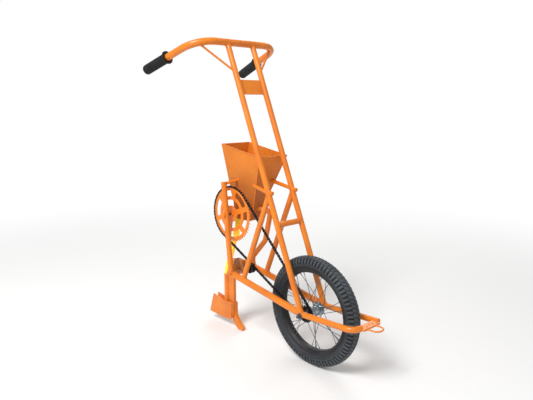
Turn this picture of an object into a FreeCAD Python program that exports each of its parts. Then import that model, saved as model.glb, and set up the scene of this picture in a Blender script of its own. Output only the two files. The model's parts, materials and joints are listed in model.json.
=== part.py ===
# Wheel hoe seeder: a one-wheel hand-pushed row seeder. Its bicycle-type front wheel drives
# a metering shaft under the seed hopper by a chain, and seed falls through a hose into the
# furrow that the curved tine opens. Millimetres. X is forward, Y is the machine's left, Z is
# up. Heights are first laid out from the floor and lengths from the wheel's axle, and every
# piece is then shifted so that the origin lies midway between the two hand grips.
import FreeCAD, Part
import math
import os

V = FreeCAD.Vector

# ---- driving dimensions ------------------------------------------------------------------
# Wheel
TYRE_OD = 406.0
TYRE_SECTION = 54.0
RIM_BEAD_DEPTH = 9.5
RIM_DEPTH = 15.5
RIM_SHOULDER = 6.0
RIM_WELL_HALF = 9.0
RIM_WELL_INSET = 1.5
TYRE_INSIDE_GAP = 4.0
RIM_WIDTH = 36.0
RIM_WALL = 2.5
SPOKE_COUNT = 28
SPOKE_DIAMETER = 2.2
SPOKE_LEAD = 68.0
SPOKE_HOLE_INSET = 4.0
SPOKE_RIM_OFFSET = 4.0
HUB_BARREL_RADIUS = 15.0
HUB_FLANGE_RADIUS = 25.0
HUB_FLANGE_THICKNESS = 3.0
HUB_FLANGE_OFFSET = 28.5
HUB_HALF_LENGTH = 34.0
AXLE_DIAMETER = 10.0
AXLE_NUT_FLATS = 15.0
AXLE_NUT_HEIGHT = 8.0
AXLE_TIP = 5.0
SPACER_DIAMETER = 18.0
HUB_END_GAP = 0.5
RUNNING_CLEARANCE = 0.06
PAST = 120.0
# Chain drive
CHAIN_PITCH = 12.7
CHAINWHEEL_TEETH = 54
SPROCKET_TEETH = 14
CHAIN_PLANE = -40.0
CHAIN_ROLLER_RADIUS = 3.9
CHAIN_CORE_HALF = 3.4
CHAIN_CORE_SPARE = 5.0
CHAIN_PLATE_HEIGHT = 8.4
CHAIN_PLATE_THICKNESS = 1.6
CHAIN_INNER_WIDTH = 4.6
CHAIN_SEAT_GAP = 0.3
SPROCKET_THICKNESS = 3.0
SPROCKET_BOSS = 3.0
TOOTH_HEIGHT = 3.2
CHAINWHEEL_RIM_WIDTH = 15.0
CHAINWHEEL_RING_OUTER = 71.0
CHAINWHEEL_RING_INNER = 57.0
CHAINWHEEL_DISC_RADIUS = 33.0
CHAINWHEEL_ARM_WIDTH = 20.0
CHAINWHEEL_INNER_ARMS = 3
CHAINWHEEL_OUTER_ARMS = 6
ARM_ROOT_SINK = 13.0
ARM_TIP_SINK = 2.0
SHAFT_DIAMETER = 12.0
SHAFT_RIGHT_REACH = 26.0
SHAFT_LEFT_REACH = 14.0
COLLAR_DIAMETER = 22.0
COLLAR_WIDTH = 8.0
COLLAR_GAP = 1.0
FLUTE_DIAMETER = 5.0
ROLLER_END_GAP = 4.0
CHAINWHEEL_BOSS = 26.0
CHAINWHEEL_BOSS_RIGHT = 6.0
CHAINWHEEL_BOSS_LEFT = 20.0
CHAINWHEEL_ARM_TURN = 19.5
IDLER_RADIUS = 12.0
IDLER_FLANGE_RADIUS = 20.0
IDLER_FLANGE_THICKNESS = 2.5
IDLER_GROOVE_HALF = 6.0
IDLER_PIN_DIAMETER = 8.0
IDLER_COLLAR_DIAMETER = 13.0
IDLER_HEAD_HEIGHT = 3.0
# Tubes and bars
FRAME_HALF_WIDTH = 62.0
FRAME_TUBE = 21.3
REAR_RAIL_TUBE = 25.4
HANDLE_TUBE = 26.9
HOPPER_BAR = 15.0
BAR_STUB_X = -150.0
BAR_STUB_Z = 620.5
BRACE_ROD = 8.0
REAR_CROSS_TUBE = 22.0
TOW_ROD = 6.0
# Frame layout, as x from the axle and z from the floor
RAIL_RISE_AT_AXLE = 4.0
RAIL_FLAT = 1.0
RAIL_REAR_X = -402.0
RAIL_REAR_Z = 269.0
TYRE_FRONT_GAP = 27.0
RAIL_FRONT_Z = 217.0
RAIL_CORNER_RADIUS = 34.0
RAIL_END_Y = 26.0
LEFT_RAIL_PAST = 7.0
HITCH_REACH = 20.0
HITCH_RIGHT_Y = -34.0
HITCH_LEFT_INSET = 8.0
HITCH_THICKNESS = 7.0
HITCH_HOLE_RADIUS = 4.25
HITCH_HOLE_REACH = 7.0
HITCH_HOLE_Y = 10.0
HITCH_HOLE_PITCH = 18.0
TOW_LOOP_REACH = 42.0
TOW_LOOP_Y = 7.0
TOW_LOOP_RADIUS = 23.0
TOW_BEND_RADIUS = 22.0
HANDLE_TOP_X = -395.0
HANDLE_TOP_Z = 1165.0
HANDLE_HALF_WIDTH = 202.0
HANDLE_BEND_RADIUS = 98.0
GRIP_END_X = -673.0
GRIP_END_Y = 246.0
GRIP_END_Z = 1067.0
GRIP_DIAMETER = 39.0
GRIP_LENGTH = 134.0
GRIP_FLANGE_DIAMETER = 50.0
GRIP_FLANGE_THICKNESS = 6.0
GRIP_END_WALL = 6.0
BRACE_FOOT_Z = 1055.0
MID_BAR_Z = 508.0
NAMEPLATE_Z = 1001.0
NAMEPLATE_HEIGHT = 56.0
NAMEPLATE_THICKNESS = 2.0
NAMEPLATE_LIP = 8.0
STRUT_TOP_Z = 613.0
STRUT_FOOT_X = -315.0
# Hopper and metering unit
HOPPER_WALL = 2.0
HOPPER_TILT = 10.0
HOPPER_OFFSET = 29.0
HOPPER_RIM_X = -350.0
HOPPER_RIM_Z = 762.0
HOPPER_RIM_LENGTH = 224.0
HOPPER_RIM_WIDTH = 145.0
HOPPER_DEPTH = 232.0
HOPPER_OUTLET_LENGTH = 122.0
HOPPER_OUTLET_WIDTH = 48.0
HOPPER_CUT_SPARE = 5.0
BAR_DEPTH = 120.0
BAR_KNEE_REACH = 20.0
BAR_KNEE_RISE = 4.0
BAR_BEND = 24.0
BAR_SINK = V(-17.0, 6.0, -2.0)
LEFT_BAR_RISE = 15.0
LEFT_BAR_SINK = 10.0
POST_ALONG = -25.0
POST_DEPTH = 126.0
POST_FOOT_X = -380.0
POST_FORWARD = 3.0
POST_OUTSET = 8.0
POST_FOOT_RISE = 4.0
POST_HEAD_DROP = 8.0
POST_SINK = 10.0
POST_STRAP = 11.0
POST_STRAP_DROP = 7.0
STAY_FOOT_X = -394.0
STAY_KNEE_Z = 308.0
STAY_ELBOW_X = -320.0
STAY_ELBOW_Z = 393.0
STAY_TOP_REACH = 102.3
STAY_TOP_DROP = 13.5
STAY_HEAD_REACH = 45.3
STAY_HEAD_DROP = 3.5
STAY_KNEE_BACK = 3.0
STAY_BEND = 20.0
SHAFT_X = -408.0
SHAFT_Z = 505.0
HOUSING_WALL = 6.0
HOUSING_FLOOR_Z = 476.0
FEED_OUTLET = 18.0
ROLLER_RADIUS = 14.0
ROLLER_CLEARANCE = 5.5
ROLLER_FLUTES = 10
SPOUT_TOP = V(SHAFT_X - 16.0, 17.0, HOUSING_FLOOR_Z)
SPOUT_END = V(-438.0, 8.0, 412.0)
SPOUT_BORE = 12.5
FUNNEL_CONE = 46.0
FUNNEL_MOUTH_RADIUS = 19.0
FUNNEL_NECK_RADIUS = 12.0
FUNNEL_WALL = 3.0
PASSAGE_RISE_SHARE = 0.3
# Opener
REAR_CROSS_X = -390.0
SADDLE_DEPTH = 4.0
SHANK_X = -449.0
SHANK_SIZE = 14.0
SHANK_TOP_Z = 302.0
TINE_TOP_Z = 92.0
SOCKET_TOP_Z = 112.0
SOCKET_FOOT_Z = 52.0
SEED_TUBE_X = -493.0
SEED_TUBE_OD = 23.5
SEED_TUBE_TOP_Z = 228.0
SEED_TUBE_FOOT_Z = 72.0
HOSE_OD = 20.0
HOSE_BORE = 15.5
HOSE_OVERLAP = 18.0
HOSE_GRIP_SHARE = 0.25
HOSE_COLLAR_OD = 29.0
HOSE_COLLAR_ABOVE = 14.0
HOSE_COLLAR_BELOW = 9.0
BOOT_PLATE = 2.5
DISC_RADIUS = 33.5
DISC_THICKNESS = 9.0
LINK_PLATE = 6.0
WEB_THICKNESS = 6.0
WEB_TOP_Z = 262.0

# ---- values that follow ------------------------------------------------------------------
AXLE_Z = TYRE_OD / 2
RIM_BEAD_RADIUS = TYRE_OD / 2 - TYRE_SECTION + RIM_BEAD_DEPTH
RIM_INNER_RADIUS = RIM_BEAD_RADIUS - RIM_DEPTH
RAIL_FRONT_X = TYRE_OD / 2 + TYRE_FRONT_GAP
HITCH_FRONT_X = RAIL_FRONT_X + HITCH_REACH
HITCH_HOLE_X = RAIL_FRONT_X + HITCH_HOLE_REACH
TOW_LOOP_X = HITCH_FRONT_X + TOW_LOOP_REACH
AXLE_RADIUS = AXLE_DIAMETER / 2
TUBE_RADIUS = FRAME_TUBE / 2
BOOT_HALF_GAP = SEED_TUBE_OD / 2
REAR_RAIL_RADIUS = REAR_RAIL_TUBE / 2
RAIL_AXLE_Z = AXLE_Z + RAIL_RISE_AT_AXLE
UPRIGHT_SLOPE = HANDLE_TOP_X / (HANDLE_TOP_Z - AXLE_Z)
REAR_RAIL_SLOPE = (RAIL_REAR_Z - RAIL_AXLE_Z) / RAIL_REAR_X
CHAINWHEEL_PITCH_RADIUS = CHAIN_PITCH / 2 / math.sin(math.pi / CHAINWHEEL_TEETH)
SPROCKET_PITCH_RADIUS = CHAIN_PITCH / 2 / math.sin(math.pi / SPROCKET_TEETH)
HANDLE_CORNER = V(HANDLE_TOP_X, HANDLE_HALF_WIDTH, HANDLE_TOP_Z)
GRIP_END = V(GRIP_END_X, GRIP_END_Y, GRIP_END_Z)
GRIP_AXIS = (HANDLE_CORNER - GRIP_END).normalize()
GRIP_CENTRE = GRIP_END + GRIP_AXIS * GRIP_LENGTH / 2
HANDS = V(GRIP_CENTRE.x, 0, GRIP_CENTRE.z)


def upright_x(z):
    """Length position of the uprights' centre line at height z."""
    return UPRIGHT_SLOPE * (z - AXLE_Z)


def rear_rail_z(x):
    """Height of the rear rails' centre line at length position x."""
    return RAIL_AXLE_Z + REAR_RAIL_SLOPE * x


# ---- shared shapes -----------------------------------------------------------------------
def rod(start, end, diameter):
    """A straight round bar between two points."""
    span = end - start
    return Part.makeCylinder(diameter / 2, span.Length, start, span)


def cross_rod(x, z, diameter, y_from, y_to):
    """A round bar along Y."""
    return rod(V(x, y_from, z), V(x, y_to, z), diameter)


def bend(before, corner, after, radius):
    """Start, middle and end of the arc that rounds a corner between two straight runs."""
    inward = (before - corner).normalize()
    outward = (after - corner).normalize()
    half = math.acos(max(-1.0, min(1.0, inward.dot(outward)))) / 2
    trim = radius / math.tan(half)
    bisector = (inward + outward).normalize()
    middle = corner + bisector * (radius / math.sin(half) - radius)
    return corner + inward * trim, middle, corner + outward * trim


def bent_wire(points, radii):
    """Straight runs through the points, each corner rounded by a tangent arc of its own radius."""
    edges = []
    last = points[0]
    for before, corner, after, radius in zip(points, points[1:], points[2:], radii):
        arc_start, middle, arc_end = bend(before, corner, after, radius)
        edges.append(Part.LineSegment(last, arc_start).toShape())
        edges.append(Part.Arc(arc_start, middle, arc_end).toShape())
        last = arc_end
    edges.append(Part.LineSegment(last, points[-1]).toShape())
    return Part.Wire(edges)


def swept(points, radii, diameter):
    """A round section carried along straight runs and tangent arcs."""
    path = bent_wire(points, radii)
    start = (points[1] - points[0]).normalize()
    section = Part.Wire(Part.makeCircle(diameter / 2, points[0], start))
    return path.makePipeShell([section], True, False)


def bent_rod(points, bend_radius, diameter):
    """A round bar bent to one radius at every corner."""
    return swept(points, [bend_radius] * (len(points) - 2), diameter)


def plate(outline, y_from, y_to):
    """A flat plate standing lengthwise, from an outline of (x, z) points."""
    corners = [V(x, y_from, z) for x, z in outline]
    face = Part.Face(Part.makePolygon(corners + corners[:1]))
    return face.extrude(V(0, y_to - y_from, 0))


def block(x_from, x_to, y_from, y_to, z_from, z_to):
    """A square-cornered block between two corners."""
    return Part.makeBox(x_to - x_from, y_to - y_from, z_to - z_from, V(x_from, y_from, z_from))


def turned(profile):
    """A body of revolution about the wheel's axis, from (radius, y) points."""
    corners = [V(0, y, radius) for radius, y in profile]
    face = Part.Face(Part.makePolygon(corners + corners[:1]))
    body = face.revolve(V(0, 0, 0), V(0, 1, 0), 360)
    body.translate(V(0, 0, AXLE_Z))
    return body


def mirrored(shape):
    """The same piece on the machine's other side."""
    return shape.mirror(V(0, 0, 0), V(0, 1, 0))


def hexagon(x, z, across_flats, y_from, y_to):
    """A six-sided nut or bolt head with its axis along Y."""
    radius = across_flats / math.sqrt(3)
    turns = [math.radians(60 * i) for i in range(6)]
    outline = [(x + radius * math.cos(a), z + radius * math.sin(a)) for a in turns]
    return plate(outline, y_from, y_to)


def single(shape):
    """The one solid of a finished cut or joined shape, or all of them as a compound."""
    clean = shape.removeSplitter()
    return clean.Solids[0] if len(clean.Solids) == 1 else Part.makeCompound(clean.Solids)


def largest(shape):
    """The biggest solid of a shape, for a tube whose coped end leaves a loose sliver."""
    return max(shape.Solids, key=lambda solid: solid.Volume)


def kept(shape, count):
    """The given number of biggest solids, for a bar that another piece divides."""
    solids = sorted(shape.Solids, key=lambda solid: -solid.Volume)[:count]
    return Part.makeCompound(solids)


# ---- wheel -------------------------------------------------------------------------------
def make_rim():
    half = RIM_WIDTH / 2
    well = RIM_INNER_RADIUS + RIM_WALL
    shoulder = RIM_BEAD_RADIUS - RIM_SHOULDER
    floor_half = RIM_WELL_HALF
    inside = half - RIM_WALL
    return turned([
        (RIM_BEAD_RADIUS, -half), (shoulder - RIM_WALL, -half), (RIM_INNER_RADIUS, -floor_half),
        (RIM_INNER_RADIUS, floor_half), (shoulder - RIM_WALL, half), (RIM_BEAD_RADIUS, half),
        (RIM_BEAD_RADIUS, inside), (shoulder, inside), (well, floor_half - RIM_WELL_INSET),
        (well, RIM_WELL_INSET - floor_half), (shoulder, -inside), (RIM_BEAD_RADIUS, -inside),
    ])


def make_tyre(rim):
    section = TYRE_SECTION / 2
    ring = Part.makeTorus(AXLE_Z - section, section, V(0, 0, AXLE_Z), V(0, 1, 0))
    inside = Part.makeCylinder(RIM_INNER_RADIUS + RIM_WALL + TYRE_INSIDE_GAP, TYRE_SECTION,
                               V(0, -section, AXLE_Z), V(0, 1, 0))
    return single(ring.cut(inside).cut(rim))


def make_hub():
    barrel = Part.makeCylinder(HUB_BARREL_RADIUS, 2 * HUB_HALF_LENGTH,
                               V(0, -HUB_HALF_LENGTH, AXLE_Z), V(0, 1, 0))
    hub = barrel
    for side in (-1, 1):
        base = V(0, side * HUB_FLANGE_OFFSET - HUB_FLANGE_THICKNESS / 2, AXLE_Z)
        hub = hub.fuse(Part.makeCylinder(HUB_FLANGE_RADIUS, HUB_FLANGE_THICKNESS, base, V(0, 1, 0)))
    boss_end = CHAIN_PLANE - SPROCKET_THICKNESS / 2 - SPROCKET_BOSS
    boss = cross_rod(0, AXLE_Z, 2 * HUB_BARREL_RADIUS, boss_end, -HUB_HALF_LENGTH)
    bore = cross_rod(0, AXLE_Z, AXLE_DIAMETER + 2 * RUNNING_CLEARANCE, -PAST, PAST)
    return single(hub.fuse(boss).cut(bore))


def make_spokes(hub, rim):
    spokes = []
    lead = math.radians(SPOKE_LEAD)
    hole_radius = HUB_FLANGE_RADIUS - SPOKE_HOLE_INSET
    for i in range(SPOKE_COUNT):
        side = -1 if i % 2 else 1
        pair = i // 2
        inner = -1 if pair % 2 else 1
        hub_angle = 2 * math.pi * i / SPOKE_COUNT
        rim_angle = hub_angle + (lead if inner > 0 else -lead)
        face = HUB_FLANGE_THICKNESS / 2 + SPOKE_DIAMETER / 2
        hub_y = side * (HUB_FLANGE_OFFSET + inner * face)
        rim_y = side * SPOKE_RIM_OFFSET
        start = V(hole_radius * math.cos(hub_angle), hub_y, hole_radius * math.sin(hub_angle) + AXLE_Z)
        end = V(RIM_INNER_RADIUS * math.cos(rim_angle), rim_y,
                RIM_INNER_RADIUS * math.sin(rim_angle) + AXLE_Z)
        spokes.append(rod(start, end, SPOKE_DIAMETER).cut(hub))
    return Part.makeCompound([s for spoke in spokes for s in spoke.cut(rim).Solids])


def toothed_disc(teeth, pitch_radius, x, z, y_middle, phase):
    """A chain sprocket blank: a root circle with one blunt pointed tooth per pitch."""
    root = pitch_radius - CHAIN_ROLLER_RADIUS
    tip = pitch_radius + TOOTH_HEIGHT
    step = 2 * math.pi / teeth
    outline = []
    for i in range(teeth):
        middle = phase + i * step
        for share, radius in ((-0.34, root), (-0.2, pitch_radius), (-0.07, tip),
                              (0.07, tip), (0.2, pitch_radius), (0.34, root)):
            angle = middle + share * step
            outline.append((x + radius * math.cos(angle), z + radius * math.sin(angle)))
    half = SPROCKET_THICKNESS / 2
    return plate(outline, y_middle - half, y_middle + half)


def make_wheel_sprocket():
    disc = toothed_disc(SPROCKET_TEETH, SPROCKET_PITCH_RADIUS, 0, AXLE_Z, CHAIN_PLANE, 0.0)
    return single(disc.cut(cross_rod(0, AXLE_Z, 2 * HUB_BARREL_RADIUS, -PAST, 0)))


def make_axle():
    """Fixed spindle with a spacer either side of the hub and a nut on each rail's outer face."""
    rail_out = FRAME_HALF_WIDTH + REAR_RAIL_RADIUS - RAIL_FLAT
    rail_in = FRAME_HALF_WIDTH - REAR_RAIL_RADIUS + RAIL_FLAT
    nut_end = rail_out + AXLE_NUT_HEIGHT
    axle = cross_rod(0, AXLE_Z, AXLE_DIAMETER, -nut_end - AXLE_TIP, nut_end + AXLE_TIP)
    boss_end = -CHAIN_PLANE + SPROCKET_THICKNESS / 2 + SPROCKET_BOSS
    for y_from, y_to in ((-rail_in, -boss_end - HUB_END_GAP), (HUB_HALF_LENGTH + HUB_END_GAP, rail_in)):
        axle = axle.fuse(cross_rod(0, AXLE_Z, SPACER_DIAMETER, y_from, y_to))
    for y_from, y_to in ((-nut_end, -rail_out), (rail_out, nut_end)):
        axle = axle.fuse(hexagon(0, AXLE_Z, AXLE_NUT_FLATS, y_from, y_to))
    return single(axle)


# ---- frame -------------------------------------------------------------------------------
def make_rear_rail(axle):
    start = V(RAIL_REAR_X, -FRAME_HALF_WIDTH, RAIL_REAR_Z)
    kink = V(0, -FRAME_HALF_WIDTH, RAIL_AXLE_Z)
    return largest(rod(start, kink, REAR_RAIL_TUBE).cut(axle))


def make_front_rail(rear_rail, axle):
    y = -FRAME_HALF_WIDTH
    corner = V(RAIL_FRONT_X, y, RAIL_FRONT_Z)
    points = [V(0, y, RAIL_AXLE_Z), corner, V(RAIL_FRONT_X, -RAIL_END_Y, RAIL_FRONT_Z)]
    return largest(bent_rod(points, RAIL_CORNER_RADIUS, FRAME_TUBE).cut(rear_rail).cut(axle))


def make_left_front_rail(rear_rail, axle):
    """The left half runs straight on, past the hitch plate welded to its inner side."""
    y = FRAME_HALF_WIDTH
    slope = (RAIL_FRONT_Z - RAIL_AXLE_Z) / RAIL_FRONT_X
    end_x = RAIL_FRONT_X + LEFT_RAIL_PAST
    rail = rod(V(0, y, RAIL_AXLE_Z), V(end_x, y, RAIL_AXLE_Z + slope * end_x), FRAME_TUBE)
    return largest(rail.cut(rear_rail).cut(axle))


def make_upright(feet, handlebar):
    """Stands on the rails at the axle, coped round each piece at its foot."""
    foot_z = AXLE_Z
    tube = rod(V(upright_x(foot_z), -FRAME_HALF_WIDTH, foot_z),
               V(HANDLE_TOP_X, -FRAME_HALF_WIDTH, HANDLE_TOP_Z), FRAME_TUBE)
    for piece in feet:
        tube = tube.cut(piece)
    return largest(tube.cut(handlebar))


def make_handlebar():
    corner_left = HANDLE_CORNER
    corner_right = V(HANDLE_CORNER.x, -HANDLE_CORNER.y, HANDLE_CORNER.z)
    end_left = GRIP_END + GRIP_AXIS * GRIP_END_WALL
    end_right = V(end_left.x, -end_left.y, end_left.z)
    return bent_rod([end_right, corner_right, corner_left, end_left], HANDLE_BEND_RADIUS, HANDLE_TUBE)


def make_left_grip(handlebar):
    inner_end = GRIP_END + GRIP_AXIS * GRIP_LENGTH
    grip = rod(GRIP_END, inner_end, GRIP_DIAMETER)
    flange = rod(inner_end - GRIP_AXIS * GRIP_FLANGE_THICKNESS, inner_end, GRIP_FLANGE_DIAMETER)
    return single(grip.fuse(flange).cut(handlebar))


def make_brace(upright, handlebar):
    """Thin rod from the upright to the middle of the handlebar's bend."""
    corner = V(HANDLE_CORNER.x, -HANDLE_CORNER.y, HANDLE_CORNER.z)
    grip = V(GRIP_END.x, -GRIP_END.y, GRIP_END.z)
    across = V(HANDLE_CORNER.x, 0, HANDLE_CORNER.z)
    head = bend(across, corner, grip, HANDLE_BEND_RADIUS)[1]
    foot = V(upright_x(BRACE_FOOT_Z), -FRAME_HALF_WIDTH, BRACE_FOOT_Z)
    return largest(rod(foot, head, BRACE_ROD).cut(upright).cut(handlebar))


def make_cross_tube(z, diameter, uprights):
    bar = cross_rod(upright_x(z), z, diameter, -FRAME_HALF_WIDTH, FRAME_HALF_WIDTH)
    for upright in uprights:
        bar = bar.cut(upright)
    return largest(bar)


def make_nameplate(uprights):
    half = NAMEPLATE_HEIGHT / 2
    lean = math.degrees(math.atan(-UPRIGHT_SLOPE))
    middle = V(upright_x(NAMEPLATE_Z), 0, NAMEPLATE_Z)
    sheet = Part.makeBox(NAMEPLATE_THICKNESS, 2 * FRAME_HALF_WIDTH, NAMEPLATE_HEIGHT,
                         V(-NAMEPLATE_THICKNESS / 2, -FRAME_HALF_WIDTH, -half))
    lip = Part.makeBox(NAMEPLATE_LIP, 2 * FRAME_HALF_WIDTH, NAMEPLATE_THICKNESS,
                       V(NAMEPLATE_THICKNESS / 2 - NAMEPLATE_LIP, -FRAME_HALF_WIDTH, -half))
    sign = sheet.fuse(lip)
    sign.rotate(V(0, 0, 0), V(0, 1, 0), -lean)
    sign.translate(middle)
    for upright in uprights:
        sign = sign.cut(upright)
    return largest(sign)


def strut_point(z):
    """A point of the right strut's centre line at height z."""
    top_x = upright_x(STRUT_TOP_Z)
    foot_z = rear_rail_z(STRUT_FOOT_X)
    share = (z - foot_z) / (STRUT_TOP_Z - foot_z)
    return V(STRUT_FOOT_X + (top_x - STRUT_FOOT_X) * share, -FRAME_HALF_WIDTH, z)


def make_strut(upright, rail):
    strut = rod(strut_point(rear_rail_z(STRUT_FOOT_X)), strut_point(STRUT_TOP_Z), FRAME_TUBE)
    return largest(strut.cut(upright).cut(rail))


def make_rear_crosspiece(rails):
    bar = cross_rod(REAR_CROSS_X, rear_cross_z(), REAR_CROSS_TUBE, -FRAME_HALF_WIDTH, FRAME_HALF_WIDTH)
    for rail in rails:
        bar = bar.cut(rail)
    return largest(bar)


def rear_cross_z():
    """The rear crosspiece lies on top of the rails, in a shallow saddle."""
    return rear_rail_z(REAR_CROSS_X) + REAR_RAIL_RADIUS + REAR_CROSS_TUBE / 2 - SADDLE_DEPTH


def make_hitch_plate(front_rails):
    """Flattened front end of the frame, drilled for an implement's two bolts."""
    z = RAIL_FRONT_Z
    half = HITCH_THICKNESS / 2
    left_y = FRAME_HALF_WIDTH - HITCH_LEFT_INSET
    tongue = block(RAIL_FRONT_X - TUBE_RADIUS, HITCH_FRONT_X, HITCH_RIGHT_Y, left_y, z - half, z + half)
    for rail in front_rails:
        tongue = tongue.cut(rail)
    for y in (HITCH_HOLE_Y, HITCH_HOLE_Y + HITCH_HOLE_PITCH):
        base = V(HITCH_HOLE_X, y, z - HITCH_THICKNESS)
        tongue = tongue.cut(Part.makeCylinder(HITCH_HOLE_RADIUS, 2 * HITCH_THICKNESS, base, V(0, 0, 1)))
    return largest(tongue)


def make_tow_ring():
    """Bent rod loop welded to the hitch plate's front edge."""
    z = RAIL_FRONT_Z
    front = TOW_LOOP_X - TOW_ROD / 2
    right, left = TOW_LOOP_Y - TOW_LOOP_RADIUS, TOW_LOOP_Y + TOW_LOOP_RADIUS
    points = [V(HITCH_FRONT_X, right, z), V(front, right, z), V(front, left, z), V(HITCH_FRONT_X, left, z)]
    return bent_rod(points, TOW_BEND_RADIUS, TOW_ROD)


# ---- hopper and metering unit ------------------------------------------------------------
def tilted(shape):
    """Lays a hopper piece, drawn about its rim's centre, at the hopper's place and tilt."""
    shape.rotate(V(0, 0, 0), V(0, 1, 0), HOPPER_TILT)
    shape.translate(V(HOPPER_RIM_X, HOPPER_OFFSET, HOPPER_RIM_Z))
    return shape


def funnel(grow_x, grow_y, spare):
    """The hopper's tapered inside as a solid, grown lengthwise and sideways and at its ends."""
    def ring(depth):
        share = depth / HOPPER_DEPTH
        length = HOPPER_RIM_LENGTH + (HOPPER_OUTLET_LENGTH - HOPPER_RIM_LENGTH) * share
        width = HOPPER_RIM_WIDTH + (HOPPER_OUTLET_WIDTH - HOPPER_RIM_WIDTH) * share
        x = length / 2 + grow_x
        y = width / 2 + grow_y
        corners = [V(-x, -y, -depth), V(x, -y, -depth), V(x, y, -depth), V(-x, y, -depth)]
        return Part.makePolygon(corners + corners[:1])
    return Part.makeLoft([ring(-spare), ring(HOPPER_DEPTH + spare)], True, True)


def make_hopper_walls():
    """Right, left, rear and front sheets, the last two set between the sides."""
    past = HOPPER_CUT_SPARE
    sides = funnel(0.0, 0.0, 0.0).cut(funnel(past, -HOPPER_WALL, past))
    ends = funnel(0.0, -HOPPER_WALL, 0.0).cut(funnel(-HOPPER_WALL, past, past))
    right, left = sorted(sides.Solids, key=lambda solid: solid.CenterOfMass.y)
    rear, front = sorted(ends.Solids, key=lambda solid: solid.CenterOfMass.x)
    return [tilted(wall) for wall in (right, left, rear, front)]


def hopper_block():
    """The whole hopper as if it were full, for trimming what ends on its outside."""
    return tilted(funnel(0.0, 0.0, 0.0))


def hopper_point(along, side, depth):
    """A point on the hopper's right (-1) or left (1) face, or its middle plane (0)."""
    tilt = math.radians(HOPPER_TILT)
    x = HOPPER_RIM_X + along * math.cos(tilt) - depth * math.sin(tilt)
    z = HOPPER_RIM_Z - along * math.sin(tilt) - depth * math.cos(tilt)
    width = HOPPER_RIM_WIDTH + (HOPPER_OUTLET_WIDTH - HOPPER_RIM_WIDTH) * depth / HOPPER_DEPTH
    return V(x, HOPPER_OFFSET + side * width / 2, z)


def hopper_front(depth):
    """Distance along the rim from its middle to the front sheet at a depth."""
    length = HOPPER_RIM_LENGTH + (HOPPER_OUTLET_LENGTH - HOPPER_RIM_LENGTH) * depth / HOPPER_DEPTH
    return length / 2


def hopper_foot(along):
    """A point (x, z) on the hopper's outlet plane, at a distance along it from its middle."""
    foot = hopper_point(along, 0, HOPPER_DEPTH)
    return foot.x, foot.z


def make_right_hopper_bar(upright, side_wall, front_wall):
    """Runs back from a stub ahead of the upright, then bends in to the hopper's front edge."""
    y = -FRAME_HALF_WIDTH
    edge = hopper_point(hopper_front(BAR_DEPTH), -1, BAR_DEPTH)
    knee = V(upright_x(BAR_STUB_Z) - BAR_KNEE_REACH, y, BAR_STUB_Z + BAR_KNEE_RISE)
    bar = bent_rod([V(BAR_STUB_X, y, BAR_STUB_Z), knee, edge + BAR_SINK], BAR_BEND, HOPPER_BAR)
    return kept(bar.cut(upright).cut(side_wall).cut(front_wall), 2)


def make_left_hopper_bar(upright, side_wall, front_wall):
    """Runs straight back from its stub ahead of the upright to the hopper's front sheet."""
    y = FRAME_HALF_WIDTH
    front = hopper_point(hopper_front(BAR_DEPTH), 0, BAR_DEPTH - LEFT_BAR_RISE)
    bar = rod(V(BAR_STUB_X, y, BAR_STUB_Z), V(front.x - LEFT_BAR_SINK, y, front.z), HOPPER_BAR)
    return kept(bar.cut(upright).cut(side_wall).cut(front_wall), 2)


def make_housing():
    """Feed housing under the hopper's outlet, with a round chamber for the feed roller."""
    half = HOPPER_OUTLET_WIDTH / 2
    reach = HOPPER_OUTLET_LENGTH / 2
    inner = reach - HOUSING_WALL
    floor = HOUSING_FLOOR_Z
    outline = [hopper_foot(-reach), (SHAFT_X - 38.0, floor + 24.0), (SHAFT_X - 33.0, floor + 5.0),
               (SHAFT_X - 26.0, floor), (SHAFT_X + 54.0, floor), (SHAFT_X + 72.0, floor + 11.0),
               hopper_foot(reach)]
    body = plate(outline, HOPPER_OFFSET - half, HOPPER_OFFSET + half)
    y_from = HOPPER_OFFSET - half + HOUSING_WALL
    y_to = HOPPER_OFFSET + half - HOUSING_WALL
    chamber = ROLLER_RADIUS + ROLLER_CLEARANCE
    top_rear, top_front = hopper_foot(-inner), hopper_foot(inner)
    above = top_rear[1] + HOUSING_WALL
    hollow = plate([top_rear, (SHAFT_X - chamber, SHAFT_Z), (SHAFT_X + chamber, SHAFT_Z),
                    top_front, (top_front[0], above), (top_rear[0], above)], y_from, y_to)
    hollow = hollow.fuse(cross_rod(SHAFT_X, SHAFT_Z, 2 * chamber, y_from, y_to))
    passage = rod(SPOUT_TOP + (SPOUT_TOP - SPOUT_END) * PASSAGE_RISE_SHARE, SPOUT_END, FEED_OUTLET)
    return single(body.cut(hollow).cut(passage).cut(shaft_bore()))


def shaft_bore():
    """The running hole for the metering shaft, long enough for every bearing on it."""
    return cross_rod(SHAFT_X, SHAFT_Z, SHAFT_DIAMETER + 2 * RUNNING_CLEARANCE, -PAST, PAST)


def make_rear_post(rail, crosspiece, wall):
    """Outer carrier of the metering shaft, tied to the hopper's side by a thin bar at its top."""
    y = -FRAME_HALF_WIDTH - POST_OUTSET
    foot = V(POST_FOOT_X, y, rear_rail_z(POST_FOOT_X) + POST_FOOT_RISE)
    side = hopper_point(POST_ALONG, -1, POST_DEPTH)
    lean = (SHAFT_X + POST_FORWARD - POST_FOOT_X) / (SHAFT_Z - foot.z)
    head_z = side.z - POST_HEAD_DROP
    head = V(POST_FOOT_X + lean * (head_z - foot.z), y, head_z)
    strap = rod(head - V(0, 0, POST_STRAP_DROP), side + V(0, POST_SINK, 0), POST_STRAP)
    post = rod(foot, head, FRAME_TUBE).fuse(strap)
    return largest(post.cut(rail).cut(crosspiece).cut(wall).cut(shaft_bore()))


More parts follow.
